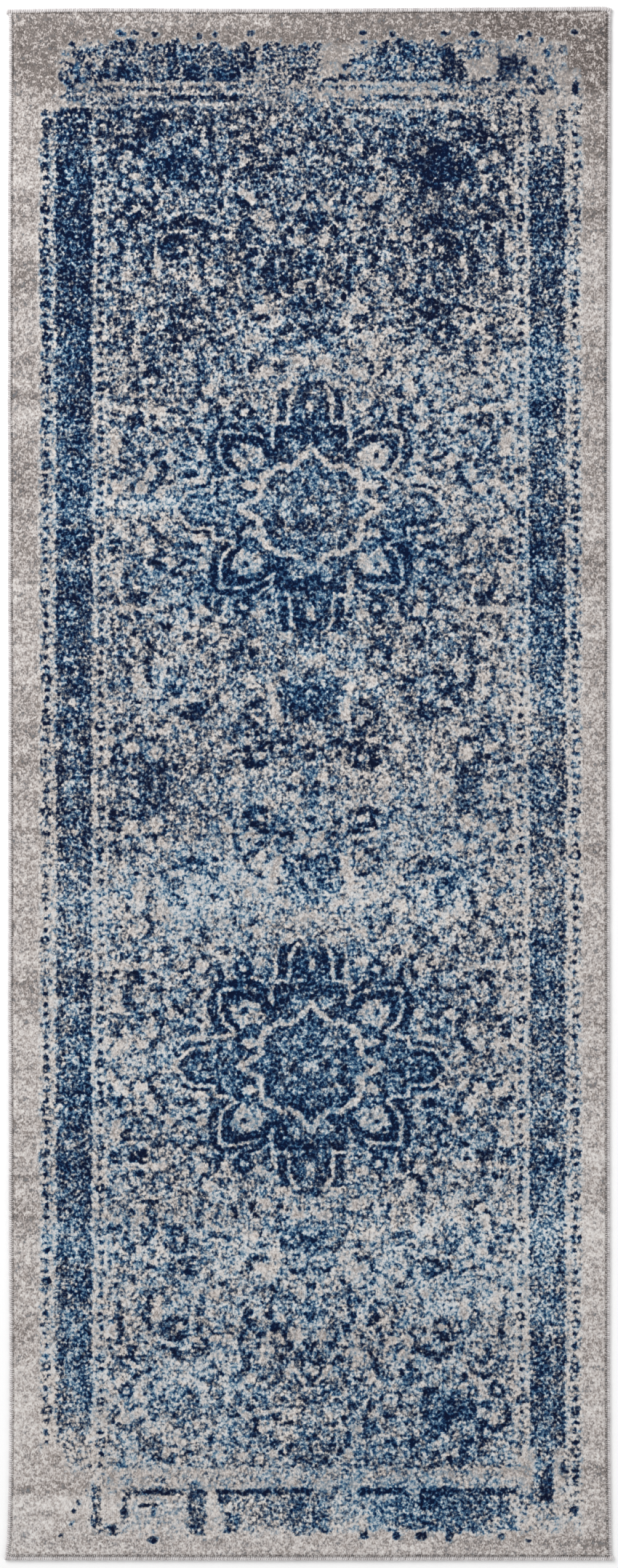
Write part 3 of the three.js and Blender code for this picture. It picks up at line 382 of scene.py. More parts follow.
# Marks of yarn that stand at only one place: kind, x, y, rx, ry
SINGLES = [
    ("b", 167, 45, 7, 5), ("n", 185, 45, 4, 3), ("n", 213, 47, 4, 3), ("n", 274, 50, 4, 4), ("n", 296, 48, 3, 3), ("n", 345, 46, 5, 3), ("b", 122, 68, 6, 3), ("n", 99, 60, 3, 3),
    ("n", 110, 77, 6, 4), ("n", 84, 104, 4, 4), ("n", 92, 112, 4, 3), ("b", 106, 96, 6, 8), ("n", 146, 92, 4, 8), ("n", 122, 94, 3, 6), ("n", 170, 90, 5, 5),
    ("n", 500, 45, 4, 3), ("b", 500, 58, 4, 3), ("n", 475, 92, 4, 3), ("n", 487, 84, 4, 3), ("n", 653, 47, 6, 4), ("b", 657, 57, 8, 2), ("b", 655, 72, 5, 8), ("b", 645, 78, 7, 2),
    ("n", 612, 46, 6, 3), ("n", 540, 47, 4, 4), ("n", 722, 84, 3, 4), ("b", 752, 72, 4, 5), ("b", 745, 55, 3, 3), ("n", 790, 44, 5, 3), ("n", 688, 108, 5, 3), ("n", 668, 110, 5, 3), ("b", 648, 121, 6, 3), ("n", 704, 127, 5, 3), ("n", 735, 96, 3, 5), ("b", 757, 108, 4, 4), ("n", 716, 52, 5, 4), ("n", 728, 47, 4, 3), ("n", 700, 131, 4, 3), ("b", 775, 88, 3, 3),
    ("n", 745, 125, 5, 5), ("b", 762, 118, 6, 5), ("n", 730, 112, 5, 5), ("n", 792, 122, 3, 8), ("n", 714, 92, 4, 6), ("n", 692, 96, 6, 7), ("n", 616, 84, 9, 6),
    ("n", 218, 2052, 28, 3), ("n", 500, 2112, 6, 4), ("n", 545, 2112, 5, 5), ("n", 580, 2112, 8, 5), ("n", 618, 2113, 5, 6), ("b", 690, 2113, 4, 4), ("n", 210, 2117, 6, 4),
    ("n", 170, 2080, 4, 6), ("n", 172, 2060, 3, 4), ("n", 102, 2078, 3, 3), ("b", 98, 2096, 2, 2), ("n", 85, 2112, 3, 2), ("n", 154, 2101, 5, 4), ("n", 108, 2066, 3, 3),
    ("n", 792, 2030, 3, 12), ("n", 790, 2076, 5, 6), ("n", 775, 2020, 4, 8), ("n", 727, 2118, 3, 2), ("n", 752, 2045, 8, 20), ("n", 204, 2070, 10, 2), ("b", 211, 2080, 2, 4),
]


# the main side border: u from the middle line, q from the middle of the length
BORDER = """
B l 332 0 11 9; B l 328 6 6 4; B t 322 60 10 8; B c 326 60 4; B l 326 118 8 8; B c 325 118 4; B l 330 178 8 6; B c 330 240 6; R m 330 240 11 4
B l 326 305 13 9; B t 327 306 6 4; B c 325 368 6; R n 325 368 11 4; B t 327 402 12 8; B l 327 428 9 6; B n 346 425 6 6; B c 331 490 7; B t 326 550 10 7
B l 328 614 9 8; B c 328 614 4; B t 327 680 8 7; B c 325 745 7; R n 325 745 12 4; B t 328 808 8 6; B t 325 870 10 8; B n 325 470 10 7; B n 318 473 6
B n 315 280 12 10; B n 340 276 10 14; B n 325 258 18 6; B n 316 335 12 9; B n 306 345 8 10; B n 345 335 7 10; B m 330 350 12 8; B n 314 412 14 6
B n 310 520 10 16; B n 335 520 14 12; B n 306 580 6 18; B m 326 585 8 8; B n 344 575 6 10; B n 345 650 7 22; B n 310 640 9 10; B n 308 680 8 14; B n 330 695 16 8
B n 310 770 9 26; B n 336 765 14 12; B n 345 785 7 22; B n 322 790 10 8; B n 308 830 9 24; B n 342 835 6 12; B n 306 930 5 14
B n 345 30 6 26; B n 347 85 5 10; B m 310 25 8 8; B n 312 62 7 6; B m 322 140 14 6; B m 312 165 8 10; B m 340 165 8 12; B m 322 215 14 10; B n 348 200 4 10
B l 345 106 6 9; B c 346 60 4 6; B l 347 300 5 8; B l 349 360 5 6; B c 346 440 6 6; B l 338 446 8 6; B l 347 462 6 8; B l 310 300 6 5
B b 320 602 20 10; B b 318 625 18 8; B l 345 604 7 6; B l 347 560 5 8; B l 346 722 5 6; B b 322 722 14 6; B t 330 900 16 18; B t 325 940 18 20
"""


def band(x, a, b, soft):
    return step(x, a - soft, a + soft) * (1 - step(x, b - soft, b + soft))


def design(X, Y):
    """X, Y in design units: X from the rug's left edge, Y down from its top edge.
    Gives how much dark yarn there is, how blue it is, how warm the ground is and how speckled."""
    shape = X.shape
    X, Y = X.ravel().astype(float), Y.ravel().astype(float)
    # each quarter is knotted a little unevenly
    wx = X + 1.2 * wave(X, Y, 3.0, 90.0) + 1.1 * wave(X, Y, 41.0, 15.0)
    wy = Y + 1.2 * wave(X, Y, 5.0, 110.0) + 1.1 * wave(X, Y, 43.0, 15.0)
    u = np.abs(wx - 427.5)
    q = np.abs(wy - 1083.5)
    w = q - 383.0
    v = np.full(X.shape, 0.385)
    h = np.full(X.shape, 0.35)
    v += 0.05 * wave(X, Y, 1.0, 60.0)
    h += 0.25 * wave(X, Y, 2.0, 150.0)
    med = np.abs(w) < 176
    i = np.nonzero(med)[0]
    a, b = v[i], h[i]
    draw(marks(MEDALLION), u[i], np.abs(w[i]), a, b)
    v[i], h[i] = a, b
    i = np.nonzero(q < 216)[0]
    a, b = v[i], h[i]
    draw(marks(MIDDLE), u[i], q[i], a, b)
    v[i], h[i] = a, b
    i = np.nonzero(w > 158)[0]
    a, b = v[i], h[i]
    draw(marks(ENDS), u[i], w[i], a, b)
    v[i], h[i] = a, b

    # between the drawn flowers the field is full of small leaves and tendrils
    busy = 1 - 0.85 * step(200 - u, 0, 30) * step(172 - np.abs(w), 0, 30)
    tendril = 0.5 - np.abs(wave(u, q, 21.0, 30.0))
    v += (0.15 * tendril + 0.10 * wave(u, q, 22.0, 17.0)) * busy * (1.15 + 0.3 * step(620 - Y, 0, 200))

    # the borders down the sides
    side = step(u, 278, 283)
    v = v * (1 - side) + 0.19 * side
    h = h * (1 - side) + 0.25 * side
    # main border: close dark speckle, paler and bluer towards the middle of the rug
    body = step(u, 299, 303) * (1 - step(u, 348, 353))
    deep = 0.615 + 0.03 * step(q, 230, 270) + 0.05 * wave(u * 2.0, q, 7.0, 46.0) - 0.20 * step(q, 860, 900)
    v = v * (1 - body) + deep * body
    h = h * (1 - body) + (0.40 - 0.09 * step(q, 230, 270)) * body
    # guard stripes: a rosette and then three small spots, over and over
    for mid, pitch, first, small, large in ((288.8, 14.57, 27.0, 0.80, 0.72), (364.0, 14.68, 33.0, 0.76, 0.62)):
        k = np.round((q - first) / pitch)
        rosette = np.mod(k, 4) == 0
        mood = hashed(k, np.sign(X - 427.5) + 2 * np.sign(Y - 1083.5), int(mid))
        rho = np.hypot(u - mid, (q - first) - k * pitch)
        c = np.clip(0.5 + (np.where(rosette, 7.2, 3.6) - rho) / 3.2, 0, 1)
        level = np.where(rosette, large, small) + 0.46 * (mood - 0.55)
        v += (level - v) * c
        heart = np.clip(0.5 + (2.4 - rho) / 3.0, 0, 1) * rosette * (mood > 0.45)
        v += (0.25 - v) * heart
        h += (0.15 + 0.5 * hashed(k, np.sign(X - 427.5), 3) - h) * c * 0.7
    i = np.nonzero(u > 296)[0]
    a, b = v[i], h[i]
    draw(marks(BORDER), u[i], q[i], a, b)
    v[i] += (a - v[i]) * 0.75
    h[i] = b
    # the plain margin
    edge = step(u, 372 + 1.5 * wave(X, Y, 9.0, 50.0), 375 + 1.5 * wave(X, Y, 9.0, 50.0))

    # the borders across the ends, worn almost away
    end = step(w, 549, 553)
    v = v * (1 - end) + (0.19 + 0.10 * wave(X, Y, 11.0, 24.0)) * end
    h = h * (1 - end) + 0.3 * end
    i = np.nonzero((Y < 205) | (Y > 1965))[0]
    bx = wx[i] + 2.0 * wave(X[i], Y[i], 31.0, 13.0)
    by = wy[i] + 1.3 * wave(X[i], Y[i], 32.0, 15.0)
    for line in END_BLOCKS.replace(";", "\n").split("\n"):
        if line.strip():
            x0, x1, y0, y1, dark, blue = (float(t) for t in line.split())
            inside = np.minimum(np.minimum(bx - x0, x1 - bx), np.minimum(by - y0, y1 - by))
            c = np.clip(0.5 + inside / 4.5, 0, 1) * 0.92
            v[i] += ((dark if dark > 0.58 else dark * 0.85) - v[i]) * c
            h[i] += (blue - h[i]) * c
    faded = step(u, 296, 302) * step(q, 955, 975) * 0.0
    v = v * (1 - faded) + (0.30 + 0.08 * wave(X, Y, 13.0, 30.0)) * faded
    top = Y < 1083
    limit = np.where(top, 642.0 + 0.0 * X, 641.0) + 7 * wave(X, Y * 0.3, 12.0, 34.0) + 4 * wave(X, Y, 57.0, 11.0)
    rim = step(w, limit, limit + 4)
    for corner in (
        (1 - step(X + 16 * wave(X, Y, 51.0, 26.0), 82, 92)) * (1 - step(Y + 8 * wave(X, Y, 52.0, 20.0), 142, 154)),
        (1 - step(X + 12 * wave(X, Y, 53.0, 26.0), 86, 96)) * step(Y + 10 * wave(X, Y, 54.0, 20.0), 1985, 2005),
        step(X + 14 * wave(X, Y, 55.0, 22.0), 772, 786) * (1 - step(Y + 16 * wave(X, Y, 56.0, 20.0), 90, 120)),
        rim,
    ):
        edge = np.maximum(edge, corner)
    v = v * (1 - edge)

    clean = 0.30 + 0.70 * step(v, 0.04, 0.26)
    amp = clean * (1.0 + 0.10 * step(u, 276, 300) + 0.12 * step(700 - Y, 0, 300)) * (1 - edge) + 0.25 * edge
    amp *= 1 - 0.40 * step(X, 630, 680) * (1 - step(Y, 100, 140))
    tone = 0.60 + 0.07 * wave(X * 0.4, Y * 2.5, 15.0, 90.0) + 0.08 * wave(X * 0.3, Y, 16.0, 160.0)
    for lefts, table in ((True, BANDS_LEFT), (False, BANDS_RIGHT)):
        reach = step(X, 520, 330) if lefts else step(X, 330, 520)
        for y0, half, dt in table:
            tilt = Y - y0 + 3.0 * wave(X, Y * 0.2, y0, 70.0)
            tone += 0.62 * dt * np.exp(-(tilt / half) ** 2) * reach
    for x0, y0, rx, ry, dv, dh, dt in PATCHES:
        g = np.exp(-((X - x0) / rx) ** 2 - ((Y - y0) / ry) ** 2)
        v += dv * g * (1 - edge)
        h += dh * g
        tone += dt * g
    for kind, x0, y0, rx, ry in SINGLES:
        rho = np.hypot((X - x0) / rx, (Y - y0) / ry)
        sd = (1 - rho) * min(rx, ry) + 1.0 + 0.8 * wave(X, Y, 61.0, 6.0)
        c = np.clip(0.5 + sd / 2.6, 0, 1)
        dark, blue = KIND[kind]
        v += (dark - v) * c
        h += (blue - h) * c
        amp += (1.0 - amp) * c
    return [np.clip(z, 0, top).reshape(shape) for z, top in ((v, 1), (h, 1), (tone, 0.93), (amp, 1.3))]
# ---------------------------------------------------------------- outline
# The outer outline, as the solids have it: long sides [y, x], ends [x, y], in mm.
LEFT_EDGE = np.array([
  [-1010.8, -398.5], [-995.5, -397.1], [-974.5, -396.0], [-926.9, -394.5], [-869.7, -393.8], [-812.5, -393.4],
  [-755.3, -393.4], [-698.2, -393.5], [-641.0, -393.9], [-583.8, -394.1], [-526.6, -394.3], [-469.4, -394.1],
  [-412.3, -394.4], [-355.1, -394.5], [-297.9, -395.1], [-240.7, -394.8], [-183.5, -394.6], [-126.4, -394.6],
  [-69.2, -394.8], [-12.0, -394.8], [45.2, -394.7], [102.4, -394.6], [159.5, -394.6], [216.7, -395.0],
  [273.9, -395.2], [331.1, -395.0], [388.3, -395.1], [445.4, -395.3], [502.6, -395.7], [559.8, -395.3],
  [617.0, -395.4], [674.2, -395.3], [731.3, -395.3], [788.5, -395.2], [845.7, -394.6], [902.9, -394.3],
  [941.0, -394.0], [983.9, -394.1], [1005.8, -394.3],
]) / 1000.0
RIGHT_EDGE = np.array([
  [-1010.8, 397.2], [-995.5, 397.0], [-974.5, 396.6], [-926.9, 396.0], [-869.7, 395.3], [-812.5, 395.0],
  [-755.3, 394.7], [-698.2, 394.8], [-641.0, 394.9], [-583.8, 395.0], [-526.6, 394.8], [-469.4, 394.7],
  [-412.3, 394.7], [-355.1, 394.8], [-297.9, 394.9], [-240.7, 394.8], [-183.5, 394.7], [-126.4, 394.7],
  [-69.2, 394.8], [-12.0, 394.8], [45.2, 394.6], [102.4, 394.5], [159.5, 394.7], [216.7, 394.7],
  [273.9, 394.6], [331.1, 394.4], [388.3, 394.3], [445.4, 394.3], [502.6, 394.4], [559.8, 394.2],
  [617.0, 394.6], [674.2, 394.9], [731.3, 395.0], [788.5, 395.3], [845.7, 395.6], [902.9, 395.6],
  [941.0, 395.9], [969.6, 396.1], [998.2, 396.1], [1010.6, 396.5],
]) / 1000.0
TOP_EDGE = np.array([
  [-397.2, 1014.8], [-393.7, 1015.3], [-389.9, 1015.5], [-384.2, 1015.5], [-376.6, 1015.6], [-362.3, 1015.9],
  [-338.5, 1016.4], [-295.6, 1017.1], [-252.7, 1017.1], [-209.8, 1017.0], [-166.9, 1016.9], [-124.0, 1016.7],
  [-81.1, 1016.5], [-38.3, 1016.5], [4.6, 1016.8], [47.5, 1017.0], [90.4, 1017.4], [133.3, 1017.7],
  [176.2, 1018.1], [219.0, 1018.4], [261.9, 1018.7], [304.8, 1018.9], [347.7, 1019.3], [362.0, 1019.4],
  [376.3, 1019.6], [383.9, 1019.6], [389.6, 1019.1], [393.4, 1018.4], [396.3, 1016.7],
]) / 1000.0
BOTTOM_EDGE = np.array([
  [-399.2, -1018.6], [-393.7, -1019.0], [-389.9, -1019.1], [-384.2, -1019.1], [-376.6, -1019.2], [-362.3, -1019.2],
  [-338.5, -1019.3], [-295.6, -1019.3], [-252.7, -1019.3], [-209.8, -1019.4], [-166.9, -1019.4], [-124.0, -1019.5],
  [-81.1, -1019.6], [-38.3, -1019.6], [4.6, -1019.6], [47.5, -1019.6], [90.4, -1019.7], [133.3, -1019.6],
  [176.2, -1019.5], [219.0, -1019.5], [261.9, -1019.5], [304.8, -1019.5], [347.7, -1019.5], [362.0, -1019.6],
  [376.3, -1019.6], [383.9, -1019.6], [389.6, -1019.6], [393.4, -1019.7], [399.2, -1019.3],
]) / 1000.0

# ------------------------------------------------------------------ geometry
UNIT = 0.000953  # one design unit, in metres
SERGE_LEFT, SERGE_RIGHT, SERGE_BOTTOM = 0.0057, 0.0058, 0.0075
PILE = 0.0088  # height of the pile's flat top


def serge_top(x):
    return np.interp(x, [-0.395, 0.395], [0.0061, 0.0076])


def edge_left(y):
    return np.interp(y, LEFT_EDGE[:, 0], LEFT_EDGE[:, 1])


def edge_right(y):
    return np.interp(y, RIGHT_EDGE[:, 0], RIGHT_EDGE[:, 1])


def edge_top(x):
    return np.interp(x, TOP_EDGE[:, 0], TOP_EDGE[:, 1])


def edge_bottom(x):
    return np.interp(x, BOTTOM_EDGE[:, 0], BOTTOM_EDGE[:, 1])


def pile_left(y):
    return edge_left(y) + SERGE_LEFT


def pile_right(y):
    return edge_right(y) - SERGE_RIGHT


def pile_top(x):
    return edge_top(x) - serge_top(x)


def pile_bottom(x):
    return edge_bottom(x) + SERGE_BOTTOM


def to_design(x, y):
    return x / UNIT + 425.15, 1077.4 - y / UNIT


def new_mesh(name, verts, faces, smooth=True, slots=None):
    """One mesh object from vertices and a list of (faces as an array with n corners)."""
    me = bpy.data.meshes.new(name)
    me.vertices.add(len(verts))
    me.vertices.foreach_set("co", np.ascontiguousarray(verts, np.float32).ravel())
    corners = np.concatenate([np.asarray(f, np.int32).ravel() for f in faces])
    counts = np.concatenate([np.full(len(f), len(f[0]), np.int32) for f in faces if len(f)])
    starts = np.concatenate([[0], np.cumsum(counts)[:-1]]).astype(np.int32)
    me.loops.add(len(corners))
    me.loops.foreach_set("vertex_index", corners)
    me.polygons.add(len(counts))
    me.polygons.foreach_set("loop_start", starts)
    me.polygons.foreach_set("loop_total", counts)
    me.polygons.foreach_set("use_smooth", np.full(len(counts), smooth))
    if slots is not None:
        me.polygons.foreach_set("material_index", np.asarray(slots, np.int32))
    me.update(calc_edges=True)
    me.validate()
    ob = bpy.data.objects.new(name, me)
    bpy.context.scene.collection.objects.link(ob)
    return ob


def give(ob, name, values, kind="FLOAT"):
    a = ob.data.attributes.new(name, kind, "POINT")
    a.data.foreach_set("value" if kind == "FLOAT" else "vector", np.ascontiguousarray(values, np.float32).ravel())


# the pile, with its backing: one closed sheet
EDGE = np.array([0.0, 0.0009, 0.0022, 0.0042])
CELLS_X, CELLS_Y = 192, 472
nx, ny = CELLS_X + 1, CELLS_Y + 1


def insets(n):
    """Position of each line across the pile: how far along from 0 to 1, and the fixed inset to add."""
    part, add = np.zeros(n), np.zeros(n)
    k = len(EDGE)
    part[k - 1 : n - k + 1] = np.linspace(0, 1, n - 2 * k + 2)
    add[:k] = EDGE
    part[n - k :] = 1.0
    add[n - k :] = -EDGE[::-1]
    add[k - 1 : n - k + 1] = EDGE[-1] * (1 - 2 * part[k - 1 : n - k + 1])
    return part, add


sx, ax = insets(nx)
sy, ay = insets(ny)
SX, SY = np.meshgrid(sx, sy)
AX, AY = np.meshgrid(ax, ay)
I, J = np.meshgrid(np.arange(nx), np.arange(ny))
gx = -0.388 + 0.776 * SX
gy = -1.01 + 2.02 * SY
for _ in range(4):
    gx = pile_left(gy) * (1 - SX) + pile_right(gy) * SX + AX
    gy = pile_bottom(gx) * (1 - SY) + pile_top(gx) * SY + AY
inner = (I > 3) & (I < nx - 4) & (J > 3) & (J < ny - 4)
gx = gx + inner * (hashed(I, J, 1) - 0.5) * 0.0019
gy = gy + inner * (hashed(I, J, 2) - 0.5) * 0.0021
inset = np.minimum(np.minimum(I, nx - 1 - I), np.minimum(J, ny - 1 - J))
rise = np.interp(inset, [0, 1, 2, 3], [0.0062, 0.0080, 0.0086, PILE])
rough = (hashed(I, J, 3) - 0.5) * 0.0009 * np.interp(inset, [0, 1, 3], [0.2, 0.5, 1.0])
rise = rise + rough + 0.00018 * wave(gx, gy, 4.0, 0.22) * np.minimum(inset / 3, 1)
# the pile stands a little proud along each wrapped edge and dips beyond it
top = np.stack([gx, gy, rise], -1).reshape(-1, 3)
n_top = len(top)
ring = np.concatenate([
    np.arange(nx - 1),
    (nx - 1) + nx * np.arange(ny - 1),
    nx * (ny - 1) + np.arange(nx - 1, 0, -1),
    nx * np.arange(ny - 1, 0, -1),
])
low = top[ring].copy()
low[:, 2] = 0.0007
foot = top[ring].copy()
foot[:, 0] -= np.sign(foot[:, 0]) * 0.0006
foot[:, 1] -= np.sign(foot[:, 1]) * 0.0006
foot[:, 2] = 0.0
n_ring = len(ring)
q0 = (I[:-1, :-1] + nx * J[:-1, :-1]).ravel()
quads_top = np.stack([q0, q0 + 1, q0 + 1 + nx, q0 + nx], -1)
r = np.arange(n_ring)
s = (r + 1) % n_ring
quads_side = np.stack([ring[r], n_top + r, n_top + s, ring[s]], -1)
quads_low = np.stack([n_top + r, n_top + n_ring + r, n_top + n_ring + s, n_top + s], -1)
# underside: a coarse grid of every eighth line inside the rim
COARSE = 8
cx, cy = CELLS_X // COARSE, CELLS_Y // COARSE
ci, cj = np.meshgrid(np.arange(1, cx) * COARSE, np.arange(1, cy) * COARSE)
under = np.stack([gx[cj, ci], gy[cj, ci], np.zeros_like(gx[cj, ci])], -1).reshape(-1, 3)
base = n_top + 2 * n_ring


def at_coarse(i, j):
    return base + (j - 1) * (cx - 1) + (i - 1)


i0, j0 = np.meshgrid(np.arange(1, cx - 1), np.arange(1, cy - 1))
i0, j0 = i0.ravel(), j0.ravel()
quads_under = np.stack([at_coarse(i0, j0), at_coarse(i0, j0 + 1), at_coarse(i0 + 1, j0 + 1), at_coarse(i0 + 1, j0)], -1)
rim_of = n_top + n_ring
many = []  # faces with a fine outer side and one coarse inner side
for a in range(1, cx - 1):  # near end
    many.append([at_coarse(a, 1), at_coarse(a + 1, 1)] + [rim_of + k for k in range(COARSE * (a + 1), COARSE * a - 1, -1)])
off = CELLS_X
for b in range(1, cy - 1):  # right side
    many.append([at_coarse(cx - 1, b), at_coarse(cx - 1, b + 1)] + [rim_of + off + k for k in range(COARSE * (b + 1), COARSE * b - 1, -1)])
off = CELLS_X + CELLS_Y
for a in range(1, cx - 1):  # far end, running back
    i1 = cx - a
    many.append([at_coarse(i1, cy - 1), at_coarse(i1 - 1, cy - 1)] + [rim_of + off + k for k in range(COARSE * (a + 1), COARSE * a - 1, -1)])
off = 2 * CELLS_X + CELLS_Y
for b in range(1, cy - 1):  # left side, running back
    j1 = cy - b
    many.append([at_coarse(1, j1), at_coarse(1, j1 - 1)] + [rim_of + (off + k) % n_ring for k in range(COARSE * (b + 1), COARSE * b - 1, -1)])
corner = []  # the four corners, each a square with two fine sides
for at0, (i1, j1) in ((0, (1, 1)), (CELLS_X, (cx - 1, 1)), (CELLS_X + CELLS_Y, (cx - 1, cy - 1)), (2 * CELLS_X + CELLS_Y, (1, cy - 1))):
    corner.append([at_coarse(i1, j1)] + [rim_of + (at0 + k) % n_ring for k in range(COARSE, -COARSE - 1, -1)])
verts = np.concatenate([top, low, foot, under])
faces = [quads_top, quads_side, quads_low, quads_under, np.array(many), np.array(corner)]
slots = np.concatenate([np.zeros(len(quads_top)), np.zeros(len(quads_side)), np.ones(len(quads_low) + len(quads_under) + len(many) + len(corner))])
rug = new_mesh("rug", verts, faces, slots=slots)


def colour_attributes(ob, x, y, rim, fine=False):
    X, Y = to_design(x, y)
    v, h, t, a = design(X, Y)
    if fine:
        # the slope of the design at each point keeps its small figures sharp
        # between points: ink is then given as its value at the frame's origin
        d = 1.2
        east, west = design(X + d, Y)[0], design(X - d, Y)[0]
        south, north = design(X, Y + d)[0], design(X, Y - d)[0]
        v = (2 * v + east + west + south + north) / 6
        slope = np.stack([(east - west) / (2 * d * UNIT), -(south - north) / (2 * d * UNIT), np.zeros_like(v)], -1)
        slope *= np.where(np.asarray(rim) > 0, 0.0, 1.0)[:, None]
    else:
        slope = np.zeros((len(v), 3))
    give(ob, "ink", v - slope[:, 0] * x - slope[:, 1] * y)
    give(ob, "slope", slope, "FLOAT_VECTOR")
    give(ob, "blue", h)
    give(ob, "warm", t)
    give(ob, "speckle", a)
    give(ob, "rim", rim)


# painted shade: the outermost rows of the pile top and the pile's sides get a rim value that darkens their colour
rim = np.zeros(len(verts))
rim[:n_top] = np.interp(inset.ravel(), [0, 1, 2], [1.0, 0.35, 0.0])
rim[n_top : base] = 1.0
colour_attributes(rug, verts[:, 0], verts[:, 1], rim, True)
uv = rug.data.uv_layers.new(name="OFBake")
li = np.zeros(len(rug.data.loops), np.int32)
rug.data.loops.foreach_get("vertex_index", li)
fi = np.repeat(np.arange(len(rug.data.polygons)), [p.loop_total for p in rug.data.polygons])
mi = np.zeros(len(rug.data.polygons), np.int32)
rug.data.polygons.foreach_get("material_index", mi)
where = np.where(mi[fi] == 1, 1, 0)
px, py = verts[li, 0] / 0.8 + 0.5, verts[li, 1] / 2.05 + 0.5
uu = np.where(where == 1, 0.94 + 0.058 * px, 0.002 + 0.93 * px)
vv = 0.002 + 0.996 * py
uv.data.foreach_set("uv", np.stack([uu, vv], -1).astype(np.float32).ravel())

# ------------------------------------------------------------- edge tufts
# The last rows of tufts lean out over the wrapped edge, as a scalloped line.


def around(step_len):
    """Places along the pile's outline, with the outward direction at each."""
    out = []
    yb, yt = pile_bottom(-0.388) + 0.0012, pile_top(-0.388) - 0.0012
    ys = np.arange(yb, yt, step_len)
    out.append(np.stack([pile_left(ys), ys, -np.ones_like(ys), np.zeros_like(ys)], -1))
    yb, yt = pile_bottom(0.388) + 0.0012, pile_top(0.388) - 0.0012
    ys = np.arange(yb, yt, step_len)
    out.append(np.stack([pile_right(ys), ys, np.ones_like(ys), np.zeros_like(ys)], -1))
    xs = np.arange(pile_left(-1.0) + 0.0012, pile_right(-1.0) - 0.0012, step_len)
    out.append(np.stack([xs, pile_bottom(xs), np.zeros_like(xs), -np.ones_like(xs)], -1))
    xs = np.arange(pile_left(1.0) + 0.0012, pile_right(1.0) - 0.0012, step_len)
    out.append(np.stack([xs, pile_top(xs), np.zeros_like(xs), np.ones_like(xs)], -1))
    return np.concatenate(out)


def tubes(paths, radii, sides, seed_twist=0.0):
    """Closed round tubes, all with the same number of points: paths (n, k, 3), radii (n, k)."""
    n, k, _ = paths.shape
    tan = np.gradient(paths, axis=1)
    tan /= np.linalg.norm(tan, axis=2, keepdims=True) + 1e-12
    ref = np.zeros_like(tan)
    ref[..., 0] = 1.0
    flat = np.abs(tan[..., 0]) > 0.9
    ref[flat] = (0, 1, 0)
    # one reference for a whole tube keeps it from twisting
    span = paths.max(1) - paths.min(1)
    axis = np.argmin(span, axis=1)
    ref = np.zeros((n, 1, 3))
    ref[np.arange(n), 0, axis] = 1.0
    a = np.cross(tan, ref)
    a /= np.linalg.norm(a, axis=2, keepdims=True) + 1e-12
    b = np.cross(tan, a)
    ang = np.arange(sides) / sides * 2 * math.pi
    ringv = paths[:, :, None, :] + radii[:, :, None, None] * (
        np.cos(ang)[None, None, :, None] * a[:, :, None, :] + np.sin(ang)[None, None, :, None] * b[:, :, None, :]
    )
    verts = ringv.reshape(n, k * sides, 3)
    i, j = np.meshgrid(np.arange(k - 1), np.arange(sides), indexing="ij")
    i, j = i.ravel(), j.ravel()
    j2 = (j + 1) % sides
    quad = np.stack([i * sides + j, (i + 1) * sides + j, (i + 1) * sides + j2, i * sides + j2], -1)
    cap0 = np.arange(sides)
    cap1 = (k - 1) * sides + np.arange(sides)[::-1]
    shift = (np.arange(n) * k * sides)[:, None, None]
    quads = (quad[None] + shift).reshape(-1, 4)
    caps = np.concatenate([(cap0[None] + shift[:, 0]), (cap1[None] + shift[:, 0])])
    along = np.repeat(np.linspace(0, 1, k), sides)[None].repeat(n, 0)
    turn = np.tile(ang, k)[None].repeat(n, 0)
    return verts.reshape(-1, 3), quads, caps, along.ravel(), turn.ravel()


spots = around(0.0026)
m = len(spots)
kk = np.arange(m)
r1, r2, r3, r4 = (hashed(kk, kk * 0, s) - 0.5 for s in (11, 12, 13, 14))
px, py, ox, oy = spots.T
tx, ty = -oy, ox
root_in, tip_out = 0.0015 + 0.0006 * r1, 0.0007 + 0.0009 * r2
zs = np.array([0.0030, 0.0052, 0.0069, 0.0079, 0.0084])
outs = np.array([0.0, 0.28, 0.62, 0.90, 1.0])
paths = np.zeros((m, 5, 3))
for k in range(5):
    o = -root_in + (root_in + tip_out) * outs[k]
    slide = 0.0016 * r3 * outs[k]
    paths[:, k, 0] = px + ox * o + tx * slide
    paths[:, k, 1] = py + oy * o + ty * slide
    paths[:, k, 2] = zs[k] + 0.0007 * r4 * outs[k]
radii = np.array([0.0012, 0.00135, 0.00130, 0.0010, 0.00045])[None] * (1 + 0.35 * r1[:, None])
tv, tq, tc, ta, tt = tubes(paths, radii, 6)
tufts = new_mesh("edge_tufts", tv, [tq, tc])
# painted shade: each edge tuft is darkened towards its root, down in the gap by the wrapped edge
shade = np.interp(ta, [0, 0.4, 0.8, 1.0], [1.0, 0.85, 0.25, 0.1])
colour_attributes(tufts, tv[:, 0], tv[:, 1], shade)

# ----------------------------------------------------------- wrapped edges
# Yarn wrapped over and over a thin cord, slightly slanted, each turn its own.


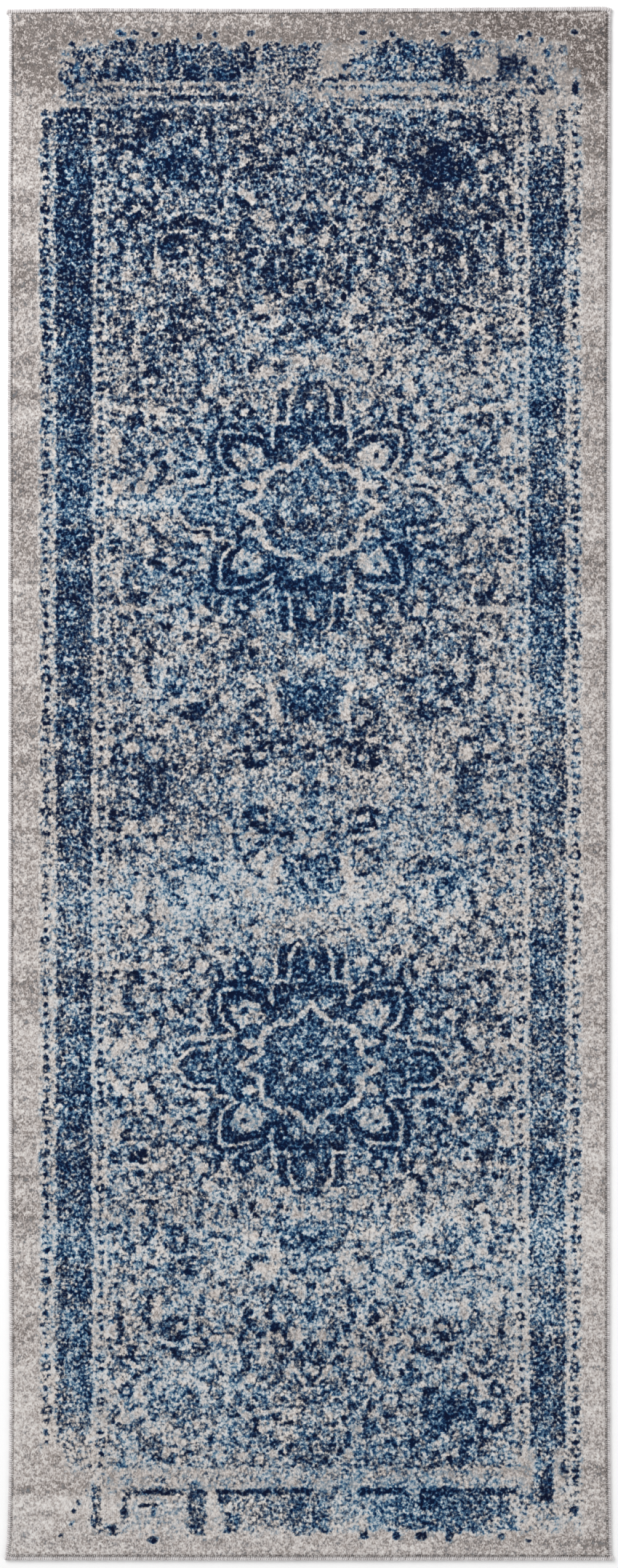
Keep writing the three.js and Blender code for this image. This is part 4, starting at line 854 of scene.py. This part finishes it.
def wrapped(name, places, inward, width, height, core_path):
    """places (n, 2): the middle of the strip at each turn; inward (n, 2): towards the pile."""
    n = len(places)
    kk = np.arange(n)
    seed = sum(ord(c) for c in name) % 97
    j1, j2, j3, j4 = (hashed(kk, kk * 0, seed + s) - 0.5 for s in range(4))
    rad = 0.00138
    half = width / 2 - rad + 0.0001
    side = np.stack([-inward[:, 1], inward[:, 0]], -1)
    # cross-section of the turn: across the strip (+ towards the pile) and up
    shape = np.array([
        (1.00, 0.30), (1.03, 0.62), (0.80, 0.90), (0.40, 1.00), (0.0, 1.03), (-0.40, 1.00),
        (-0.80, 0.88), (-1.03, 0.58), (-1.0, 0.22), (-0.75, 0.0), (0.0, -0.02),
    ])
    k = len(shape)
    paths = np.zeros((n, k, 3))
    top_z = height - rad
    for c, (a, z) in enumerate(shape):
        across = a * half * (1 + 0.06 * j2)
        slant = (-a) * 0.00055 + j1 * 0.0005 + j3 * 0.0003 * a
        paths[:, c, :2] = places + inward * across[:, None] + side * slant[:, None]
        paths[:, c, 2] = rad + (top_z - rad) * z * (1 + 0.05 * j4) - 0.00003
    radii = rad * (1 + 0.10 * j3)[:, None] * np.ones((n, k))
    paths[:, :, 2] = np.maximum(paths[:, :, 2], radii + 0.00002)
    radii[:, 0] *= 0.8
    v, q, c, along, turn = tubes(paths, radii, 8)
    # the cord inside, a darker grey that shows between the turns as painted shade in the gaps
    cp = core_path
    m = len(cp)
    t = np.gradient(cp, axis=0)
    t /= np.linalg.norm(t, axis=1, keepdims=True)
    nrm = np.stack([-t[:, 1], t[:, 0]], -1)
    prof = np.array([(-1, 0.35), (-0.6, 0.12), (0.6, 0.12), (1, 0.35), (1, 0.70), (0.6, 0.90), (-0.6, 0.90), (-1, 0.70)])
    s = len(prof)
    core = np.zeros((m, s, 3))
    for c2, (a, z) in enumerate(prof):
        core[:, c2, :2] = cp + nrm * (a * (width / 2 - 0.0009))
        core[:, c2, 2] = z * (height - 0.0008)
    i, j = np.meshgrid(np.arange(m - 1), np.arange(s), indexing="ij")
    i, j = i.ravel(), j.ravel()
    jj = (j + 1) % s
    b = len(v)
    cq = np.stack([i * s + j, i * s + jj, (i + 1) * s + jj, (i + 1) * s + j], -1) + b
    caps = np.array([np.arange(s)[::-1], (m - 1) * s + np.arange(s)]) + b
    verts = np.concatenate([v, core.reshape(-1, 3)])
    slots = np.concatenate([np.zeros(len(q) + len(c)), np.ones(len(cq) + len(caps))])
    # faces: quads, then eight-sided caps
    ob = new_mesh(name, verts, [q, c, cq, caps], slots=slots)
    extra = np.zeros(m * s)
    give(ob, "along", np.concatenate([along, extra]))
    give(ob, "turn", np.concatenate([turn, extra]))
    give(ob, "which", np.concatenate([np.repeat(hashed(kk, kk * 0, seed + 9), k * 8), extra + 0.2]))
    return ob


PITCH = 0.00275


def steps(a, b):
    return np.linspace(a, b, int(round((b - a) / PITCH)) + 1)


SERGE = 0.0058  # height of the wrapped edge
y0l, y1l = pile_bottom(-0.39) - 0.0002, pile_top(-0.39) + 0.0002
ys = steps(y0l + 0.0012, y1l - 0.0012)
mid = np.stack([edge_left(ys) + SERGE_LEFT / 2, ys], -1)
left = wrapped("serged_left", mid, np.tile([1.0, 0.0], (len(ys), 1)), SERGE_LEFT, SERGE, mid[::6])
y0r, y1r = pile_bottom(0.39) - 0.0002, pile_top(0.39) + 0.0002
ys = steps(y0r + 0.0012, y1r - 0.0012)
mid = np.stack([edge_right(ys) - SERGE_RIGHT / 2, ys], -1)
right = wrapped("serged_right", mid, np.tile([-1.0, 0.0], (len(ys), 1)), SERGE_RIGHT, SERGE, mid[::6])
xs = steps(-0.3992 + 0.0016, 0.3992 - 0.0016)
mid = np.stack([xs, edge_bottom(xs) + SERGE_BOTTOM / 2], -1)
bottom = wrapped("serged_bottom", mid, np.tile([0.0, 1.0], (len(xs), 1)), SERGE_BOTTOM, SERGE, mid[::4])
xs = steps(-0.3972 + 0.0016, 0.3966 - 0.0016)
wide = serge_top(xs)
mid = np.stack([xs, edge_top(xs) - wide / 2], -1)
top_strip = wrapped("serged_top", mid, np.tile([0.0, -1.0], (len(xs), 1)), float(wide.mean()), SERGE, mid[::4])


# ------------------------------------------------------------------- colours
def linear(rgb):
    out = []
    for c in rgb:
        c = c / 255.0
        out.append(c / 12.92 if c <= 0.04045 else ((c + 0.055) / 1.055) ** 2.4)
    return (*out, 1.0)


class Nodes:
    """A short way to write a material's nodes."""

    def __init__(self, name):
        self.mat = bpy.data.materials.new(name)
        self.mat.use_nodes = True
        self.nt = self.mat.node_tree
        self.nt.nodes.clear()
        self.out = self.nt.nodes.new("ShaderNodeOutputMaterial")
        self.bsdf = self.nt.nodes.new("ShaderNodeBsdfPrincipled")
        self.nt.links.new(self.bsdf.outputs[0], self.out.inputs[0])
        self.pos = self.nt.nodes.new("ShaderNodeTexCoord").outputs["Object"]

    def link(self, a, b):
        if isinstance(a, (int, float)):
            b.default_value = a
        elif isinstance(a, tuple):
            b.default_value = a
        else:
            self.nt.links.new(a, b)

    def attr(self, name):
        n = self.nt.nodes.new("ShaderNodeAttribute")
        n.attribute_name = name
        return n.outputs["Fac"]

    def attr_vector(self, name):
        n = self.nt.nodes.new("ShaderNodeAttribute")
        n.attribute_name = name
        return n.outputs["Vector"]

    def math(self, op, a, b=0.0, c=0.0, clamp=False):
        n = self.nt.nodes.new("ShaderNodeMath")
        n.operation = op
        n.use_clamp = clamp
        self.link(a, n.inputs[0])
        self.link(b, n.inputs[1])
        if op in ("MULTIPLY_ADD", "WRAP", "COMPARE"):
            self.link(c, n.inputs[2])
        return n.outputs[0]

    def vmath(self, op, a, b=(0.0, 0.0, 0.0)):
        n = self.nt.nodes.new("ShaderNodeVectorMath")
        n.operation = op
        self.link(a, n.inputs[0])
        self.link(b, n.inputs[1])
        return n.outputs["Value"] if op == "DOT_PRODUCT" else n.outputs[0]

    def noise(self, vec, scale, detail=2.0, rough=0.55, dims="3D"):
        n = self.nt.nodes.new("ShaderNodeTexNoise")
        n.noise_dimensions = dims
        self.link(vec, n.inputs["Vector"])
        n.inputs["Scale"].default_value = scale
        n.inputs["Detail"].default_value = detail
        n.inputs["Roughness"].default_value = rough
        return n.outputs["Fac"]

    def cells(self, vec, scale, jitter=1.0):
        n = self.nt.nodes.new("ShaderNodeTexVoronoi")
        self.link(vec, n.inputs["Vector"])
        n.inputs["Scale"].default_value = scale
        n.inputs["Randomness"].default_value = jitter
        return n.outputs["Distance"], n.outputs["Color"]

    def stretch(self, vec, scale):
        n = self.nt.nodes.new("ShaderNodeMapping")
        self.link(vec, n.inputs["Vector"])
        n.inputs["Scale"].default_value = scale
        return n.outputs[0]

    def ramp(self, fac, stops):
        n = self.nt.nodes.new("ShaderNodeValToRGB")
        n.color_ramp.interpolation = "LINEAR"
        e = n.color_ramp.elements
        while len(e) < len(stops):
            e.new(1.0)
        for k, (p, rgb) in enumerate(stops):
            e[k].position = p
            e[k].color = linear(rgb)
        self.link(fac, n.inputs[0])
        return n.outputs[0]

    def mix(self, fac, a, b):
        n = self.nt.nodes.new("ShaderNodeMix")
        n.data_type = "RGBA"
        self.link(fac, n.inputs["Factor"])
        self.link(a, n.inputs["A"] if False else n.inputs[6])
        self.link(b, n.inputs[7])
        return n.outputs[2]

    def bump(self, height, strength, distance, normal=None):
        n = self.nt.nodes.new("ShaderNodeBump")
        n.inputs["Strength"].default_value = strength
        n.inputs["Distance"].default_value = distance
        self.link(height, n.inputs["Height"])
        if normal is not None:
            self.link(normal, n.inputs["Normal"])
        return n.outputs[0]

    def finish(self, colour, rough, normal=None, sheen=0.0, specular=0.2):
        self.link(colour, self.bsdf.inputs["Base Color"])
        self.link(rough, self.bsdf.inputs["Roughness"])
        if normal is not None:
            self.link(normal, self.bsdf.inputs["Normal"])
        self.bsdf.inputs["Sheen Weight"].default_value = sheen
        self.bsdf.inputs["Sheen Roughness"].default_value = 0.6
        self.bsdf.inputs["Specular IOR Level"].default_value = specular
        return self.mat


GREY_RAMP = [
    (0.00, (217, 210, 204)), (0.14, (197, 189, 183)), (0.32, (161, 154, 151)), (0.50, (113, 113, 116)),
    (0.66, (67, 77, 92)), (0.82, (33, 45, 70)), (1.00, (5, 13, 39)),
]
BLUE_RAMP = [
    (0.00, (201, 213, 222)), (0.14, (175, 193, 206)), (0.32, (131, 159, 177)), (0.50, (82, 119, 146)),
    (0.66, (44, 82, 117)), (0.82, (18, 49, 87)), (1.00, (0, 17, 50)),
]


def pile_material():
    m = Nodes("cut_pile")
    pos = m.stretch(m.pos, (1.0, 0.92, 0.35))
    ink, blue, warm, speckle, rim = (m.attr(a) for a in ("ink", "blue", "warm", "speckle", "rim"))
    ink = m.math("ADD", ink, m.vmath("DOT_PRODUCT", m.attr_vector("slope"), m.pos), clamp=True)
    # tufts a few millimetres across, with ragged ends, each with a shade of its own
    n1 = m.noise(pos, 235.0, 2.5, 0.56)
    slanted = m.stretch(m.pos, (1.0, 0.6, 0.35))
    n2 = m.noise(slanted, 600.0, 2.0, 0.55)
    ragged = m.nt.nodes.new("ShaderNodeTexNoise")
    m.link(m.pos, ragged.inputs["Vector"])
    ragged.inputs["Scale"].default_value = 520.0
    ragged.inputs["Detail"].default_value = 1.0
    shifted = m.vmath("MULTIPLY_ADD", ragged.outputs["Color"], (0.0022, 0.0022, 0.0))
    nt_add = m.nt.nodes[-1]
    m.link(pos, nt_add.inputs[2])
    dist, cell = m.cells(shifted, 360.0)
    sep = m.nt.nodes.new("ShaderNodeSeparateColor")
    m.link(cell, sep.inputs[0])
    tuft, tuft2 = sep.outputs[0], sep.outputs[1]
    a = m.math("MULTIPLY", m.math("SUBTRACT", n1, 0.5), 2.6)
    b = m.math("MULTIPLY", m.math("SUBTRACT", n2, 0.5), 0.5)
    c = m.math("MULTIPLY", m.math("SUBTRACT", tuft, 0.5), 0.35)
    speck = m.math("ADD", m.math("ADD", a, b), c)
    x = m.math("MULTIPLY_ADD", speck, speckle, ink)
    x = m.math("ADD", x, 0.0, clamp=True)
    wide = m.noise(m.pos, 60.0, 2.0)
    clump = m.noise(m.pos, 100.0, 1.5, 0.5)
    shift = m.math("MULTIPLY_ADD", m.math("SUBTRACT", clump, 0.5), 2.0, m.math("MULTIPLY", m.math("SUBTRACT", wide, 0.5), 1.7))
    hue = m.math("MULTIPLY_ADD", m.math("SUBTRACT", tuft2, 0.5), 0.7, m.math("MULTIPLY_ADD", blue, 0.95, shift), clamp=True)
    grey = m.ramp(x, GREY_RAMP)
    colour = m.mix(hue, grey, m.ramp(x, BLUE_RAMP))
    # the undyed ground, from cream to a warm grey in faint bands across the loom
    light = m.math("SUBTRACT", 1.0, m.math("MULTIPLY", x, 2.0), clamp=True)
    light = m.math("MULTIPLY", light, m.math("MULTIPLY_ADD", speckle, -0.6, 1.1, clamp=True))
    bands = m.noise(m.stretch(m.pos, (3.0, 90.0, 1.0)), 1.0, 2.0, 0.6)
    warmth = m.math("ADD", m.math("ADD", warm, m.math("MULTIPLY_ADD", m.math("SUBTRACT", bands, 0.5), 0.35, m.math("MULTIPLY", m.math("SUBTRACT", clump, 0.5), 0.8))), m.math("ADD", m.math("MULTIPLY", m.math("SUBTRACT", n2, 0.5), 1.9), m.math("ADD", m.math("MULTIPLY", m.math("SUBTRACT", n1, 0.5), 2.0), m.math("MULTIPLY", m.math("SUBTRACT", tuft, 0.5), 0.5))))
    warmth = m.math("MULTIPLY_ADD", warmth, 0.66, 0.12, clamp=True)
    ground = m.ramp(warmth, [(0.0, (226, 222, 219)), (0.12, (218, 214, 210)), (0.285, (205, 199, 196)), (0.45, (187, 179, 176)), (0.615, (151, 142, 138)), (0.78, (104, 95, 92)), (1.0, (66, 58, 56))])
    colour = m.mix(light, colour, ground)
    # painted shade: darker where the pile turns down at its rim and down its sides, and towards the roots of the edge
    # tufts
    shade = m.math("MULTIPLY", rim, 0.62)
    colour = m.mix(shade, colour, linear((62, 58, 58)))
    height = m.math("ADD", m.math("MULTIPLY", n1, 0.7), m.math("ADD", m.math("MULTIPLY", n2, 0.6), m.math("MULTIPLY", dist, -0.5)))
    normal = m.bump(height, 0.4, 0.0022)
    rough = m.math("MULTIPLY_ADD", n2, 0.14, 0.84)
    return m.finish(colour, rough, normal, sheen=0.06, specular=0.04)


def backing_material():
    m = Nodes("woven_backing")
    w1 = m.nt.nodes.new("ShaderNodeTexWave")
    w1.bands_direction = "X"
    m.link(m.pos, w1.inputs["Vector"])
    w1.inputs["Scale"].default_value = 110.0
    w1.inputs["Distortion"].default_value = 1.2
    w2 = m.nt.nodes.new("ShaderNodeTexWave")
    w2.bands_direction = "Y"
    m.link(m.pos, w2.inputs["Vector"])
    w2.inputs["Scale"].default_value = 90.0
    w2.inputs["Distortion"].default_value = 1.2
    weave = m.math("MAXIMUM", w1.outputs["Fac"], w2.outputs["Fac"])
    n = m.noise(m.pos, 300.0, 2.0)
    x = m.math("MULTIPLY", weave, m.math("MULTIPLY_ADD", n, 0.5, 0.6), clamp=True)
    colour = m.ramp(x, [(0.0, (104, 92, 76)), (0.5, (158, 144, 122)), (1.0, (194, 182, 160))])
    normal = m.bump(weave, 0.6, 0.0006)
    return m.finish(colour, m.math("MULTIPLY_ADD", n, 0.15, 0.8), normal)


def yarn_material():
    m = Nodes("serging_yarn")
    along, turn, which = m.attr("along"), m.attr("turn"), m.attr("which")
    twist = m.math("SINE", m.math("MULTIPLY_ADD", along, 70.0, m.math("MULTIPLY", turn, 2.0)))
    fuzz = m.noise(m.pos, 900.0, 3.0, 0.65)
    slow = m.noise(m.stretch(m.pos, (1.0, 1.0, 0.2)), 28.0, 2.0)
    x = m.math("ADD", m.math("MULTIPLY_ADD", twist, 0.10, m.math("MULTIPLY", fuzz, 0.55)), m.math("ADD", m.math("MULTIPLY", which, 0.34), m.math("MULTIPLY_ADD", slow, 0.5, -0.42)), clamp=True)
    colour = m.ramp(x, [(0.0, (197, 191, 191)), (0.45, (234, 230, 230)), (1.0, (247, 245, 245))])
    height = m.math("MULTIPLY_ADD", twist, 0.5, m.math("MULTIPLY", fuzz, 0.8))
    normal = m.bump(height, 0.5, 0.0004)
    return m.finish(colour, m.math("MULTIPLY_ADD", fuzz, 0.2, 0.7), normal, sheen=0.15, specular=0.2)


def core_material():
    m = Nodes("serging_core")
    n = m.noise(m.pos, 700.0, 2.0)
    # painted shade: the cord's darker grey stands in for the shade between the yarn turns
    colour = m.ramp(n, [(0.0, (108, 103, 102)), (1.0, (154, 148, 146))])
    return m.finish(colour, m.math("MULTIPLY_ADD", n, 0.1, 0.85), m.bump(n, 0.4, 0.0004))


pile = pile_material()
backing = backing_material()
yarn = yarn_material()
core = core_material()
for mat in (pile, backing):
    rug.data.materials.append(mat)
tufts.data.materials.append(pile)
for ob in (left, right, bottom, top_strip):
    ob.data.materials.append(yarn)
    ob.data.materials.append(core)

# ------------------------------------------------------ pieces of the object
for ob in (rug, tufts, left, right, bottom, top_strip):
    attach(ob, "root")
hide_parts("rug_body")
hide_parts("serging_left")
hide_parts("serging_right")
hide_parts("serging_bottom")
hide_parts("serging_top")

# ------------------------------------------------------- floor, light, camera
me = bpy.data.meshes.new("floor")
me.from_pydata([(-40, -40, -0.0003), (40, -40, -0.0003), (40, 40, -0.0003), (-40, 40, -0.0003)], [], [(0, 1, 2, 3)])
floor = bpy.data.objects.new("floor", me)
bpy.context.scene.collection.objects.link(floor)
fm = Nodes("floor_paper")
me.materials.append(fm.finish(linear((255, 255, 255)), 0.9, None, 0.0, 0.0))

world = bpy.data.worlds.new("studio")
world.use_nodes = True
world.node_tree.nodes["Background"].inputs[0].default_value = (1.0, 1.0, 1.0, 1.0)
world.node_tree.nodes["Background"].inputs[1].default_value = 0.38
bpy.context.scene.world = world
for name, power, size, spot, aim in (
    ("key", 185.0, 3.2, (-2.2, 2.4, 3.6), (0, 0, 0)),
    ("fill", 62.0, 4.0, (2.6, -2.0, 3.8), (0, 0, 0)),
):
    lamp = bpy.data.lights.new(name, "AREA")
    lamp.shape = "SQUARE"
    lamp.size = size
    lamp.energy = power
    ob = bpy.data.objects.new(name, lamp)
    bpy.context.scene.collection.objects.link(ob)
    ob.location = spot
    ob.rotation_euler = (Vector(aim) - Vector(spot)).to_track_quat("-Z", "Y").to_euler()

cam = bpy.data.cameras.new("camera")
cam.sensor_width = 36.0
cam.sensor_fit = "AUTO"
far = 5.2
cam.lens = 36.0 * far / 2.0547
cam.dof.use_dof = False
cam.clip_start, cam.clip_end = 0.05, 40.0
camera = bpy.data.objects.new("camera", cam)
camera.location = (-0.00014, -0.00057, far + 0.009)
camera.rotation_euler = (0.0, 0.0, 0.0)
bpy.context.scene.collection.objects.link(camera)
bpy.context.scene.camera = camera
bpy.context.scene.view_settings.view_transform = "Standard"
bpy.context.scene.view_settings.look = "None"
